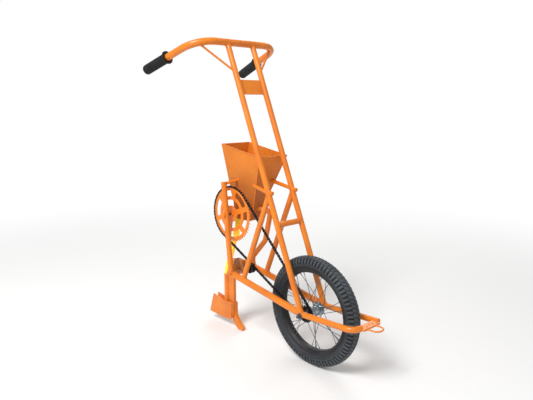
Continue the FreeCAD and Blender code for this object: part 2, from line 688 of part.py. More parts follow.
def make_rear_stay(neighbours):
    """Bent stay from the left rail's end up to the feed housing's front."""
    y = FRAME_HALF_WIDTH
    foot_x, foot_z = hopper_foot(0.0)
    points = [V(STAY_FOOT_X, y, rear_rail_z(STAY_FOOT_X)), V(STAY_FOOT_X - STAY_KNEE_BACK, y, STAY_KNEE_Z),
              V(STAY_ELBOW_X, y, STAY_ELBOW_Z), V(foot_x + STAY_TOP_REACH, y, foot_z - STAY_TOP_DROP),
              V(foot_x + STAY_HEAD_REACH, HOPPER_OFFSET, foot_z - STAY_HEAD_DROP)]
    bar = bent_rod(points, STAY_BEND, FRAME_TUBE)
    for piece in neighbours:
        bar = bar.cut(piece)
    return largest(bar)


def make_metering_shaft():
    far_face = HOPPER_OFFSET + HOPPER_OUTLET_WIDTH / 2
    shaft = cross_rod(SHAFT_X, SHAFT_Z, SHAFT_DIAMETER, -FRAME_HALF_WIDTH - SHAFT_RIGHT_REACH,
                      far_face + SHAFT_LEFT_REACH)
    half = HOPPER_OUTLET_WIDTH / 2 - HOUSING_WALL - ROLLER_END_GAP
    y_from, y_to = HOPPER_OFFSET - half, HOPPER_OFFSET + half
    roller = cross_rod(SHAFT_X, SHAFT_Z, 2 * ROLLER_RADIUS, y_from, y_to)
    for i in range(ROLLER_FLUTES):
        angle = 2 * math.pi * i / ROLLER_FLUTES
        x = SHAFT_X + ROLLER_RADIUS * math.cos(angle)
        z = SHAFT_Z + ROLLER_RADIUS * math.sin(angle)
        roller = roller.cut(cross_rod(x, z, FLUTE_DIAMETER, y_from, y_to))
    collar_from = far_face + COLLAR_GAP
    collar = cross_rod(SHAFT_X, SHAFT_Z, COLLAR_DIAMETER, collar_from, collar_from + COLLAR_WIDTH)
    return single(shaft.fuse(roller).fuse(collar))


def make_chainwheel(shaft):
    half = SPROCKET_THICKNESS / 2
    y_from, y_to = CHAIN_PLANE - half, CHAIN_PLANE + half
    inner_rim = CHAINWHEEL_PITCH_RADIUS - CHAINWHEEL_RIM_WIDTH
    wheel = toothed_disc(CHAINWHEEL_TEETH, CHAINWHEEL_PITCH_RADIUS, SHAFT_X, SHAFT_Z, CHAIN_PLANE, 0.0)
    wheel = wheel.cut(cross_rod(SHAFT_X, SHAFT_Z, 2 * inner_rim, y_from, y_to))
    ring = cross_rod(SHAFT_X, SHAFT_Z, 2 * CHAINWHEEL_RING_OUTER, y_from, y_to)
    ring = ring.cut(cross_rod(SHAFT_X, SHAFT_Z, 2 * CHAINWHEEL_RING_INNER, y_from, y_to))
    disc = cross_rod(SHAFT_X, SHAFT_Z, 2 * CHAINWHEEL_DISC_RADIUS, y_from, y_to)
    boss = cross_rod(SHAFT_X, SHAFT_Z, CHAINWHEEL_BOSS, CHAIN_PLANE - CHAINWHEEL_BOSS_RIGHT,
                     CHAIN_PLANE + CHAINWHEEL_BOSS_LEFT)
    wheel = wheel.fuse([ring, disc, boss])
    middle = (CHAINWHEEL_RING_OUTER + CHAINWHEEL_RING_INNER) / 2
    spans = ((CHAINWHEEL_INNER_ARMS, CHAINWHEEL_DISC_RADIUS - ARM_ROOT_SINK, middle),
             (CHAINWHEEL_OUTER_ARMS, middle, inner_rim + ARM_TIP_SINK))
    for count, root, tip in spans:
        for i in range(count):
            arm = Part.makeBox(tip - root, SPROCKET_THICKNESS, CHAINWHEEL_ARM_WIDTH,
                               V(root, y_from, -CHAINWHEEL_ARM_WIDTH / 2))
            arm.rotate(V(0, 0, 0), V(0, 1, 0), -(CHAINWHEEL_ARM_TURN + 360.0 / count * i))
            arm.translate(V(SHAFT_X, 0, SHAFT_Z))
            wheel = wheel.fuse(arm)
    return single(wheel.cut(shaft))


# ---- chain -------------------------------------------------------------------------------
def tangent_points(side, offset):
    """Where a belt line at the given offset from the pitch line leaves both sprockets."""
    gap = V(-SHAFT_X, 0, AXLE_Z - SHAFT_Z)
    along = V(gap.x, 0, gap.z).normalize()
    across = V(-along.z, 0, along.x) * side
    sine = (CHAINWHEEL_PITCH_RADIUS - SPROCKET_PITCH_RADIUS) / gap.Length
    normal = along * sine + across * math.sqrt(1 - sine * sine)
    big = V(SHAFT_X, 0, SHAFT_Z) + normal * (CHAINWHEEL_PITCH_RADIUS + offset)
    small = V(0, 0, AXLE_Z) + normal * (SPROCKET_PITCH_RADIUS + offset)
    return big, small


def belt_face(offset):
    """The flat area inside a closed belt line round both sprockets."""
    top_big, top_small = tangent_points(1, offset)
    low_big, low_small = tangent_points(-1, offset)
    along = V(-SHAFT_X, 0, AXLE_Z - SHAFT_Z).normalize()
    back = V(SHAFT_X, 0, SHAFT_Z) - along * (CHAINWHEEL_PITCH_RADIUS + offset)
    front = V(0, 0, AXLE_Z) + along * (SPROCKET_PITCH_RADIUS + offset)
    edges = [Part.LineSegment(top_big, top_small).toShape(), Part.Arc(top_small, front, low_small).toShape(),
             Part.LineSegment(low_small, low_big).toShape(), Part.Arc(low_big, back, top_big).toShape()]
    return Part.Face(Part.Wire(edges))


def core_start(radius):
    """How far along a straight run the sprocket's teeth are clear of the solid core."""
    inside = radius - CHAIN_CORE_HALF
    tip = radius + TOOTH_HEIGHT
    return math.sqrt(tip * tip - inside * inside) + CHAIN_CORE_SPARE


def make_chain():
    """Two side bands all round the loop, and a core on each straight run clear of the teeth."""
    half_height = CHAIN_PLATE_HEIGHT / 2
    band = belt_face(half_height).cut(belt_face(-half_height))
    near = CHAIN_PLANE - CHAIN_INNER_WIDTH / 2
    far = CHAIN_PLANE + CHAIN_INNER_WIDTH / 2
    pieces = []
    for y_from in (near - CHAIN_PLATE_THICKNESS, far):
        side_plate = band.extrude(V(0, CHAIN_PLATE_THICKNESS, 0))
        side_plate.translate(V(0, y_from, 0))
        pieces.append(side_plate)
    for side in (1, -1):
        big, small = tangent_points(side, 0.0)
        run = (small - big).normalize()
        start = big + run * core_start(CHAINWHEEL_PITCH_RADIUS)
        end = small - run * core_start(SPROCKET_PITCH_RADIUS)
        core = Part.makeBox((end - start).Length, CHAIN_INNER_WIDTH, 2 * CHAIN_CORE_HALF,
                            V(0, -CHAIN_INNER_WIDTH / 2, -CHAIN_CORE_HALF))
        core.rotate(V(0, 0, 0), V(0, 1, 0), -math.degrees(math.atan2(run.z, run.x)))
        core.translate(start + V(0, CHAIN_PLANE, 0))
        pieces.append(core)
    return single(pieces[0].fuse(pieces[1:]))


def idler_centre():
    """Where a roller under the lower run has its centre on the right strut's centre line."""
    big = tangent_points(-1, 0.0)[0]
    normal = (big - V(SHAFT_X, 0, SHAFT_Z)).normalize()
    reach = CHAIN_PLATE_HEIGHT / 2 + CHAIN_SEAT_GAP + IDLER_RADIUS
    low = strut_point(AXLE_Z)
    high = strut_point(SHAFT_Z)
    depth_low = (low - big).dot(normal)
    depth_high = (high - big).dot(normal)
    share = (depth_low - reach) / (depth_low - depth_high)
    return low + (high - low) * share


def make_idler():
    """Grooved roller that holds up the chain's lower run between two flanges."""
    spot = idler_centre()
    groove = IDLER_GROOVE_HALF
    outer = groove + IDLER_FLANGE_THICKNESS
    roller = cross_rod(spot.x, spot.z, 2 * IDLER_RADIUS, CHAIN_PLANE - outer, CHAIN_PLANE + outer)
    for y_from, y_to in ((-outer, -groove), (groove, outer)):
        flange = cross_rod(spot.x, spot.z, 2 * IDLER_FLANGE_RADIUS, CHAIN_PLANE + y_from, CHAIN_PLANE + y_to)
        roller = roller.fuse(flange)
    bore = cross_rod(spot.x, spot.z, IDLER_PIN_DIAMETER + 2 * RUNNING_CLEARANCE, -PAST, 0)
    return single(roller.cut(bore))


def make_idler_pin(strut):
    """Pin welded into the strut, with a collar and a head either side of the roller."""
    spot = idler_centre()
    outer = IDLER_GROOVE_HALF + IDLER_FLANGE_THICKNESS + HUB_END_GAP
    end = CHAIN_PLANE + outer + IDLER_HEAD_HEIGHT
    pin = cross_rod(spot.x, spot.z, IDLER_PIN_DIAMETER, -FRAME_HALF_WIDTH, end)
    collar = cross_rod(spot.x, spot.z, IDLER_COLLAR_DIAMETER, -FRAME_HALF_WIDTH, CHAIN_PLANE - outer)
    head = cross_rod(spot.x, spot.z, IDLER_COLLAR_DIAMETER, CHAIN_PLANE + outer, end)
    return largest(pin.fuse(collar).fuse(head).cut(strut))


# ---- seed path and opener ----------------------------------------------------------------
def make_seed_funnel():
    """A tapered mouth under the feed housing, drawn down to a spout for the hose."""
    axis = (SPOUT_END - SPOUT_TOP).normalize()
    cone_end = SPOUT_TOP + axis * FUNNEL_CONE
    spout = rod(cone_end, SPOUT_END, HOSE_BORE)
    outer = Part.makeCone(FUNNEL_MOUTH_RADIUS, FUNNEL_NECK_RADIUS, FUNNEL_CONE, SPOUT_TOP, axis).fuse(spout)
    hollow = Part.makeCone(FUNNEL_MOUTH_RADIUS - FUNNEL_WALL, SPOUT_BORE / 2, FUNNEL_CONE, SPOUT_TOP, axis)
    bore = rod(cone_end - axis, SPOUT_END + axis, SPOUT_BORE)
    above = block(SHAFT_X - PAST, SHAFT_X + PAST, -PAST, PAST, HOUSING_FLOOR_Z, HOUSING_FLOOR_Z + PAST)
    return single(outer.cut(hollow).cut(bore).cut(above))


def hose_points():
    """The hose hangs from the spout down and back, then drops straight on to the seed tube."""
    start = SPOUT_END + (SPOUT_TOP - SPOUT_END) * HOSE_GRIP_SHARE
    under_spout = SPOUT_END + (SPOUT_END - SPOUT_TOP) * 0.5
    top = SEED_TUBE_TOP_Z
    return [start, under_spout, V(SEED_TUBE_X + 34.0, 0, top + 92.0),
            V(SEED_TUBE_X + 6.0, 0, top + 40.0), V(SEED_TUBE_X, 0, top + 8.0),
            V(SEED_TUBE_X, 0, top - HOSE_OVERLAP)]


def hose_radii(points):
    """Each bend takes up 0.45 of the shorter run beside it."""
    radii = []
    for before, corner, after in zip(points, points[1:], points[2:]):
        shorter = min((before - corner).Length, (after - corner).Length)
        turn = (corner - before).getAngle(after - corner)
        radii.append(0.45 * shorter / math.tan(turn / 2))
    return radii


def make_seed_hose(spout):
    points = hose_points()
    radii = hose_radii(points)
    skin = swept(points, radii, HOSE_OD)
    bore = swept(points, radii, HOSE_BORE)
    print("hose bend radii", [round(radius) for radius in radii], "for a diameter of", HOSE_OD)
    print("hose length", round(bent_wire(points, radii).Length, 1))
    return largest(skin.cut(bore).cut(spout))


def make_hose_collar():
    """Moulded ring that holds the hose on the spout, over the hose's straight upper end."""
    axis = (SPOUT_END - SPOUT_TOP).normalize()
    top = SPOUT_END - axis * HOSE_COLLAR_ABOVE
    foot = SPOUT_END + axis * HOSE_COLLAR_BELOW
    return rod(top, foot, HOSE_COLLAR_OD).cut(rod(top - axis, foot + axis, HOSE_OD))


def make_seed_tube():
    height = SEED_TUBE_TOP_Z - SEED_TUBE_FOOT_Z
    base = V(SEED_TUBE_X, 0, SEED_TUBE_FOOT_Z)
    tube = Part.makeCylinder(SEED_TUBE_OD / 2, height, base, V(0, 0, 1))
    return tube.cut(Part.makeCylinder(HOSE_OD / 2, height, base, V(0, 0, 1)))


def make_shank():
    half = SHANK_SIZE / 2
    return block(SHANK_X - half, SHANK_X + half, -half, half, TINE_TOP_Z, SHANK_TOP_Z)


def make_tine():
    """A curved point forged from the shank's bar, swept forward to its blunt tip."""
    half = SHANK_SIZE / 2
    heel = V(SHANK_X - half, -half, TINE_TOP_Z)
    back = V(SHANK_X - half, -half, 56.0)
    sole = V(-409.0, -half, 0.0)
    toe = V(-387.0, -half, 3.0)
    tip = V(-385.0, -half, 14.0)
    front = V(SHANK_X + half, -half, TINE_TOP_Z)
    edges = [Part.LineSegment(heel, back).toShape(),
             Part.Arc(back, V(-431.0, -half, 13.0), sole).toShape(),
             Part.LineSegment(sole, toe).toShape(),
             Part.LineSegment(toe, tip).toShape(),
             Part.Arc(tip, V(-416.0, -half, 40.0), front).toShape(),
             Part.LineSegment(front, heel).toShape()]
    return Part.Face(Part.Wire(edges)).extrude(V(0, SHANK_SIZE, 0))


def make_tine_socket(shank, tine):
    """Sleeve round the shank's end and the tine's head, with the boot plates on its sides."""
    body = block(SHANK_X - 15, SHANK_X + 9, -BOOT_HALF_GAP, BOOT_HALF_GAP, SOCKET_FOOT_Z, SOCKET_TOP_Z)
    return single(body.cut(shank).cut(tine))


def make_boot_plate():
    """Side sheet of the furrow boot, swept back behind the seed tube's foot."""
    outline = [(-570, 121), (-598, 34), (-500, 30), (SHANK_X, 37),
               (SHANK_X + 2, 112), (-505, 108), (-527, 114)]
    return plate(outline, -BOOT_HALF_GAP - BOOT_PLATE, -BOOT_HALF_GAP)


def make_link():
    """Cheek plates that carry the shank on the rear crosspiece."""
    z = rear_cross_z()
    inner = SHANK_SIZE / 2
    outline = [(REAR_CROSS_X + 20, z - 12), (REAR_CROSS_X + 20, z + 12), (REAR_CROSS_X + 8, z + 20),
               (REAR_CROSS_X - 12, z + 20), (SHANK_X - 12, z + 12), (SHANK_X - 16, z),
               (SHANK_X - 16, z - 22), (SHANK_X + 4, z - 26), (REAR_CROSS_X + 8, z - 20)]
    cheeks = plate(outline, inner, inner + LINK_PLATE)
    return cheeks.cut(cross_rod(REAR_CROSS_X, z, REAR_CROSS_TUBE, -PAST, PAST))


def make_adjuster_disc():
    z = rear_cross_z()
    inner = SHANK_SIZE / 2 + LINK_PLATE
    disc = cross_rod(REAR_CROSS_X, z, 2 * DISC_RADIUS, -inner - DISC_THICKNESS, -inner)
    return disc.cut(cross_rod(REAR_CROSS_X, z, REAR_CROSS_TUBE, -PAST, PAST))


def make_tube_web(seed_tube, socket):
    """Flat bar welded along the gap between the shank and the seed tube."""
    half = WEB_THICKNESS / 2
    rear = SEED_TUBE_X + SEED_TUBE_OD / 2 - 2
    front = SHANK_X - SHANK_SIZE / 2
    outline = [(rear, SEED_TUBE_FOOT_Z), (front, SEED_TUBE_FOOT_Z), (front, WEB_TOP_Z),
               (front - 10, WEB_TOP_Z), (rear + 6, SEED_TUBE_TOP_Z), (rear, SEED_TUBE_TOP_Z)]
    return largest(plate(outline, -half, half).cut(seed_tube).cut(socket))


# ---- assembly ----------------------------------------------------------------------------
def build():
    nodes = {}
    rim = make_rim()
    hub = make_hub()
    nodes["tyre"] = make_tyre(rim)
    nodes["rim"] = rim
    nodes["hub"] = hub
    nodes["spokes"] = make_spokes(hub, rim)
    nodes["wheel_sprocket"] = make_wheel_sprocket()

    axle = make_axle()
    nodes["axle"] = axle
    rear_rail = make_rear_rail(axle)
    front_rail = make_front_rail(rear_rail, axle)
    left_front_rail = make_left_front_rail(mirrored(rear_rail), axle)
    handlebar = make_handlebar()
    upright = make_upright([axle, rear_rail, front_rail], handlebar)
    uprights = [upright, mirrored(upright)]
    right_wall, left_wall, rear_wall, front_wall = make_hopper_walls()
    right_parts = {
        "rear_rail": rear_rail,
        "upright": upright,
        "strut": make_strut(upright, rear_rail),
        "handle_brace": make_brace(upright, handlebar),
        "boot_plate": make_boot_plate(),
    }
    for name, shape in right_parts.items():
        nodes["right_" + name] = shape
        nodes["left_" + name] = mirrored(shape)
    nodes["right_front_rail"] = front_rail
    nodes["left_front_rail"] = left_front_rail
    left_grip = make_left_grip(handlebar)
    nodes["left_grip"] = left_grip
    nodes["right_grip"] = mirrored(left_grip)
    nodes["handlebar"] = handlebar
    nodes["middle_crossbar"] = make_cross_tube(MID_BAR_Z, FRAME_TUBE, uprights)
    nodes["nameplate"] = make_nameplate(uprights)
    rails = [rear_rail, mirrored(rear_rail)]
    crosspiece = make_rear_crosspiece(rails)
    nodes["rear_crosspiece"] = crosspiece
    nodes["hitch_plate"] = make_hitch_plate([front_rail, left_front_rail])
    nodes["tow_ring"] = make_tow_ring()

    housing = make_housing()
    shaft = make_metering_shaft()
    nodes["hopper_right_wall"] = right_wall
    nodes["hopper_left_wall"] = left_wall
    nodes["hopper_rear_wall"] = rear_wall
    nodes["hopper_front_wall"] = front_wall
    nodes["right_hopper_bar"] = make_right_hopper_bar(upright, right_wall, front_wall)
    nodes["left_hopper_bar"] = make_left_hopper_bar(mirrored(upright), left_wall, front_wall)
    nodes["metering_housing"] = housing
    nodes["metering_shaft"] = shaft
    nodes["chainwheel"] = make_chainwheel(shaft)
    nodes["right_rear_post"] = make_rear_post(rear_rail, crosspiece, right_wall)
    stay_ends = [mirrored(rear_rail), crosspiece, housing, hopper_block()]
    nodes["left_rear_stay"] = make_rear_stay(stay_ends)
    nodes["chain"] = make_chain()
    nodes["idler"] = make_idler()
    nodes["idler_pin"] = make_idler_pin(right_parts["strut"])

    seed_tube = make_seed_tube()
    spout = make_seed_funnel()
    nodes["seed_funnel"] = spout
    nodes["seed_hose"] = make_seed_hose(spout)
    nodes["hose_collar"] = make_hose_collar()
    nodes["seed_tube"] = seed_tube
    shank = make_shank()
    tine = make_tine()
    cheek = make_link()
    nodes["shank"] = shank
    nodes["tine"] = tine
    nodes["tine_socket"] = make_tine_socket(shank, tine)
    nodes["left_shank_link"] = cheek
    nodes["right_shank_link"] = mirrored(cheek)
    nodes["adjuster_disc"] = make_adjuster_disc()
    nodes["tube_web"] = make_tube_web(seed_tube, nodes["tine_socket"])
    return nodes


os.makedirs("parts", exist_ok=True)
for name, shape in build().items():
    placed = shape.copy()
    placed.translate(HANDS * -1)
    placed.exportStep("parts/" + name + ".step")
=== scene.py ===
import json
import math

import bmesh
import bpy
from mathutils import Matrix, Vector


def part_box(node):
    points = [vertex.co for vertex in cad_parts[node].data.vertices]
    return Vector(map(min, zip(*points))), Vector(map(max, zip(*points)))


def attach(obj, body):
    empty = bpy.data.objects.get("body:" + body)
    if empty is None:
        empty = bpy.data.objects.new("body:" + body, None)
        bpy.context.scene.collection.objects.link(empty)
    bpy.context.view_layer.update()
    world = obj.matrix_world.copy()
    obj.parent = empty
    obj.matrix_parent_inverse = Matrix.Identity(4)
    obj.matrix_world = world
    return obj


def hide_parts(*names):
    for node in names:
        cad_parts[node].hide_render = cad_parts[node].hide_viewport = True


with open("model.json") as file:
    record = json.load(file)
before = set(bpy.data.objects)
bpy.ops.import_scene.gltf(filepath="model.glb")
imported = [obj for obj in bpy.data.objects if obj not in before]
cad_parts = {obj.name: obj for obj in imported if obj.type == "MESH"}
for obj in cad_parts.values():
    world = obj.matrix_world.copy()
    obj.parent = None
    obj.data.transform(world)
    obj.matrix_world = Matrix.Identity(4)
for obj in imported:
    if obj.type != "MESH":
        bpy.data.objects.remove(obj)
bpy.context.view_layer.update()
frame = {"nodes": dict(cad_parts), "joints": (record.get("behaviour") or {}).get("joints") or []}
nodes = frame["nodes"]
scene = bpy.context.scene

# ---- Where things are, and the camera ------------------------------------------------------
# The seeder stands on its wheel and tine. Places are given in millimetres forward of the
# wheel's axle, to the left of the middle plane and up from the floor, as its maker lays it
# out. It is looked at from its right front, from a little above the wheel.
MM = 0.001
CAMERA_LENS = 36.055
CAMERA_TILT = math.radians(79.647)
CAMERA_TURN = math.radians(46.679)
CAMERA_REACH = 60.0

axle = Vector(next(joint["pos_m"] for joint in frame["joints"] if joint["name"] == "wheel_spin"))
floor_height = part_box("tyre")[0].z


def at(x, y, z):
    """The place x forward of the axle, y left of the middle and z above the floor."""
    return Vector((axle.x + x * MM, axle.y + y * MM, floor_height + z * MM))


camera_data = bpy.data.cameras.new("camera")
camera_data.lens = CAMERA_LENS
camera_data.sensor_width = 36.0
camera_data.clip_end = CAMERA_REACH
camera = bpy.data.objects.new("camera", camera_data)
camera.location = at(1211.9, -1376.2, 943.5)
camera.rotation_euler = (CAMERA_TILT, 0.0, CAMERA_TURN)
scene.collection.objects.link(camera)
scene.camera = camera

# ---- Lamps and sky -------------------------------------------------------------------------
# One broad soft lamp stands to the left of the camera and above it, a weaker one behind the
# machine lifts its far side, and an even white sky does the rest, so that a colour shows as
# written.
KEY_PLACE = Vector((0.9, -2.5, 2.3))
KEY_SIZE = 1.4
KEY_WATTS = 128.0
FILL_PLACE = Vector((-1.7, 2.5, 1.4))
FILL_SIZE = 2.0
FILL_WATTS = 34.0
SKY_LIGHT = 0.48
SKY_REFLECTED = 0.58
AIM = Vector((0.25, 0.0, -0.5))

scene.view_settings.view_transform = "Standard"
for lamp_name, place, size, watts in (("key_lamp", KEY_PLACE, KEY_SIZE, KEY_WATTS),
                                      ("fill_lamp", FILL_PLACE, FILL_SIZE, FILL_WATTS)):
    lamp_data = bpy.data.lights.new(lamp_name, "AREA")
    lamp_data.size = size
    lamp_data.energy = watts
    lamp = bpy.data.objects.new(lamp_name, lamp_data)
    lamp.location = place
    lamp.rotation_euler = (AIM - place).to_track_quat("-Z", "Y").to_euler()
    scene.collection.objects.link(lamp)


def add(tree, kind, sockets=None, **settings):
    """A shader node with its settings, and each named socket given a value or joined to one."""
    node = tree.nodes.new("ShaderNode" + kind)
    for key, value in settings.items():
        setattr(node, key, value)
    for key, value in (sockets or {}).items():
        if isinstance(value, bpy.types.NodeSocket):
            tree.links.new(value, node.inputs[key])
        else:
            node.inputs[key].default_value = value
    return node


def math_node(tree, operation, first, second, third=0.0):
    """The result of one piece of arithmetic on values or sockets."""
    node = add(tree, "Math", {0: first, 1: second, 2: third}, operation=operation)
    return node.outputs[0]


world = bpy.data.worlds.new("sky")
world.use_nodes = True
sky = world.node_tree
sky.nodes.clear()
seen_by = add(sky, "LightPath")
strength = math_node(sky, "MULTIPLY_ADD", seen_by.outputs["Is Camera Ray"], 1.0 - SKY_LIGHT, SKY_LIGHT)
strength = math_node(sky, "MULTIPLY_ADD", seen_by.outputs["Is Glossy Ray"],
                     SKY_REFLECTED - SKY_LIGHT, strength)
backdrop = add(sky, "Background", {"Color": (1.0, 1.0, 1.0, 1.0), "Strength": strength})
add(sky, "OutputWorld", {"Surface": backdrop.outputs[0]})
scene.world = world

# ---- Floor ---------------------------------------------------------------------------------
# A plain pale studio floor: matt white paper that takes the machine's shadow and, further
# out, goes over into the white of the sky.
FLOOR_RADIUS = 14.0
FLOOR_FADE_FROM = 1.1
FLOOR_FADE_TO = 3.2

paper = bpy.data.materials.new("floor_paper")
paper.use_nodes = True
tree = paper.node_tree
tree.nodes.clear()
place = add(tree, "TexCoord").outputs["Object"]
fibres = add(tree, "TexNoise", {"Vector": place, "Scale": 40.0, "Detail": 6.0})
tone = add(tree, "Mix", {0: fibres.outputs[0], 6: (0.90, 0.90, 0.89, 1.0), 7: (0.93, 0.93, 0.925, 1.0)},
           data_type="RGBA")
matt = add(tree, "BsdfDiffuse", {"Color": tone.outputs[2]})
white = add(tree, "Emission", {"Color": (1.0, 1.0, 1.0, 1.0), "Strength": 1.0})
middle = add(tree, "Mapping", {"Vector": place, "Location": (-AIM.x, 0.0, -floor_height)})
away = add(tree, "VectorMath", {0: middle.outputs[0]}, operation="LENGTH").outputs["Value"]
fade = add(tree, "MapRange", {0: away, 1: FLOOR_FADE_FROM, 2: FLOOR_FADE_TO}, interpolation_type="SMOOTHSTEP")
camera_only = math_node(tree, "MULTIPLY", fade.outputs[0], add(tree, "LightPath").outputs["Is Camera Ray"])
blend = add(tree, "MixShader", {0: camera_only, 1: matt.outputs[0], 2: white.outputs[0]})
add(tree, "OutputMaterial", {"Surface": blend.outputs[0]})

shape = bmesh.new()
bmesh.ops.create_circle(shape, cap_ends=True, segments=96, radius=FLOOR_RADIUS,
                        matrix=Matrix.Translation((0.0, 0.0, floor_height)))
floor_mesh = bpy.data.meshes.new("floor")
shape.to_mesh(floor_mesh)
shape.free()
floor_mesh.materials.append(paper)
floor = bpy.data.objects.new("floor", floor_mesh)
scene.collection.objects.link(floor)

# ---- Welded tube frame ---------------------------------------------------------------------
# Round steel tubes, cut, coped and arc welded: rails, uprights, struts, cross tubes and stays.
# The whole machine was sprayed with one gloss orange enamel after welding. The paint drifts
# from thin to thick, is paler where it is rubbed, and shows fine orange peel.
ENAMEL = (0.830, 0.228, 0.008)
ENAMEL_DEEP = (0.710, 0.175, 0.006)
ENAMEL_RUBBED = (0.900, 0.370, 0.060)
FRAME_TUBES = [
    "handlebar", "middle_crossbar", "nameplate", "rear_crosspiece", "hitch_plate", "tow_ring",
    "right_rear_post", "left_rear_stay", "shank", "tine", "tine_socket", "seed_tube", "tube_web",
    "chainwheel",
]
PAIRED_TUBES = [
    "rear_rail", "front_rail", "upright", "strut", "hopper_bar", "handle_brace", "boot_plate",
    "shank_link",
]


def new_group(name, inputs, outputs):
    """An empty shader group with its named inputs (kind, value) and outputs (kind)."""
    group = bpy.data.node_groups.new(name, "ShaderNodeTree")
    for label, kind, value in inputs:
        socket = group.interface.new_socket(label, in_out="INPUT", socket_type="NodeSocket" + kind)
        if value is not None:
            socket.default_value = value
    for label, kind in outputs:
        group.interface.new_socket(label, in_out="OUTPUT", socket_type="NodeSocket" + kind)
    return group, group.nodes.new("NodeGroupInput").outputs, group.nodes.new("NodeGroupOutput").inputs


# Broad soft patches, from 0 to 1, for paint thickness, grime and fading.
patches, given, result = new_group(
    "soft_patches",
    [("Place", "Vector", None), ("Scale", "Float", 8.0), ("From", "Float", 0.4), ("To", "Float", 0.65)],
    [("Mask", "Float")])
cloud = add(patches, "TexNoise", {"Vector": given["Place"], "Scale": given["Scale"], "Detail": 4.0})
spread = add(patches, "MapRange", {0: cloud.outputs[0], 1: given["From"], 2: given["To"]},
             interpolation_type="SMOOTHSTEP")
patches.links.new(spread.outputs[0], result["Mask"])

# Rubbed outer edges, found where a rounded edge would turn away from the face.
edges, given, result = new_group(
    "rubbed_edges",
    [("Place", "Vector", None), ("Width", "Float", 0.0012), ("Amount", "Float", 0.5)],
    [("Mask", "Float")])
rounded = add(edges, "Bevel", {"Radius": given["Width"]}, samples=4)
flat = add(edges, "NewGeometry").outputs["Normal"]
agree = add(edges, "VectorMath", {0: rounded.outputs[0], 1: flat}, operation="DOT_PRODUCT").outputs["Value"]
turned_away = add(edges, "MapRange", {0: agree, 1: 0.985, 2: 0.85}).outputs[0]
broken = add(edges, "TexNoise", {"Vector": given["Place"], "Scale": 90.0, "Detail": 5.0}).outputs[0]
worn = add(edges, "MapRange", {0: broken, 1: 0.42, 2: 0.60}).outputs[0]
mask = math_node(edges, "MULTIPLY", turned_away, worn)
edges.links.new(math_node(edges, "MULTIPLY", mask, given["Amount"]), result["Mask"])

# Fine relief for orange peel, cast skin, moulded plastic and rubber.
relief, given, result = new_group(
    "fine_relief",
    [("Place", "Vector", None), ("Scale", "Float", 500.0), ("Detail", "Float", 3.0)],
    [("Height", "Float")])
skin = add(relief, "TexNoise", {"Vector": given["Place"], "Scale": given["Scale"], "Detail": given["Detail"]})
relief.links.new(skin.outputs[0], result["Height"])


def use(tree, group, sockets):
    """Places a shader group in a material with its own values."""
    node = tree.nodes.new("ShaderNodeGroup")
    node.node_tree = group
    for key, value in sockets.items():
        if isinstance(value, bpy.types.NodeSocket):
            tree.links.new(value, node.inputs[key])
        else:
            node.inputs[key].default_value = value
    return node.outputs[0]


def mixed(tree, share, first, second):
    """A colour between two, given as colours or sockets."""
    first, second = (value if isinstance(value, bpy.types.NodeSocket) else (*value, 1.0)
                     for value in (first, second))
    return add(tree, "Mix", {0: share, 6: first, 7: second}, data_type="RGBA").outputs[2]


def finish(name, colour, deep, rubbed, roughness, patch_scale=9.0, wear=0.5, wear_width=0.0012,
           skin_scale=450.0, skin_depth=0.00012, metallic=0.0, coat=0.0, shine=0.25):
    """A finish whose colour drifts from one tone to a deeper one and is rubbed at its edges."""
    material = bpy.data.materials.new(name)
    material.use_nodes = True
    tree = material.node_tree
    shader = tree.nodes["Principled BSDF"]
    place = add(tree, "TexCoord").outputs["Object"]
    drift = use(tree, patches, {"Place": place, "Scale": patch_scale})
    speckle = use(tree, patches, {"Place": place, "Scale": patch_scale * 14, "From": 0.35, "To": 0.75})
    tone = mixed(tree, drift, colour, deep)
    tone = mixed(tree, math_node(tree, "MULTIPLY", speckle, 0.35), tone, deep)
    edge = use(tree, edges, {"Place": place, "Width": wear_width, "Amount": wear})
    tone = mixed(tree, edge, tone, rubbed)
    tree.links.new(tone, shader.inputs["Base Color"])
    rough = math_node(tree, "MULTIPLY_ADD", speckle, 0.10, roughness)
    tree.links.new(math_node(tree, "MULTIPLY_ADD", edge, 0.15, rough), shader.inputs["Roughness"])
    height = use(tree, relief, {"Place": place, "Scale": skin_scale})
    bump = add(tree, "Bump", {"Height": height, "Distance": skin_depth, "Strength": 1.0})
    tree.links.new(bump.outputs[0], shader.inputs["Normal"])
    shader.inputs["Metallic"].default_value = metallic
    shader.inputs["Specular IOR Level"].default_value = shine
    shader.inputs["Coat Weight"].default_value = coat
    shader.inputs["Coat Roughness"].default_value = 0.12
    return material


def dress(names, material):
    """Gives carried-over pieces their finish."""
    for name in names:
        slots = nodes[name].data.materials
        if not slots:
            slots.append(material)
        for index in range(len(slots)):
            slots[index] = material


enamel = finish("orange_enamel", ENAMEL, ENAMEL_DEEP, ENAMEL_RUBBED, 0.36, coat=0.15, shine=0.5)
dress(FRAME_TUBES + [side + name for name in PAIRED_TUBES for side in ("right_", "left_")], enamel)

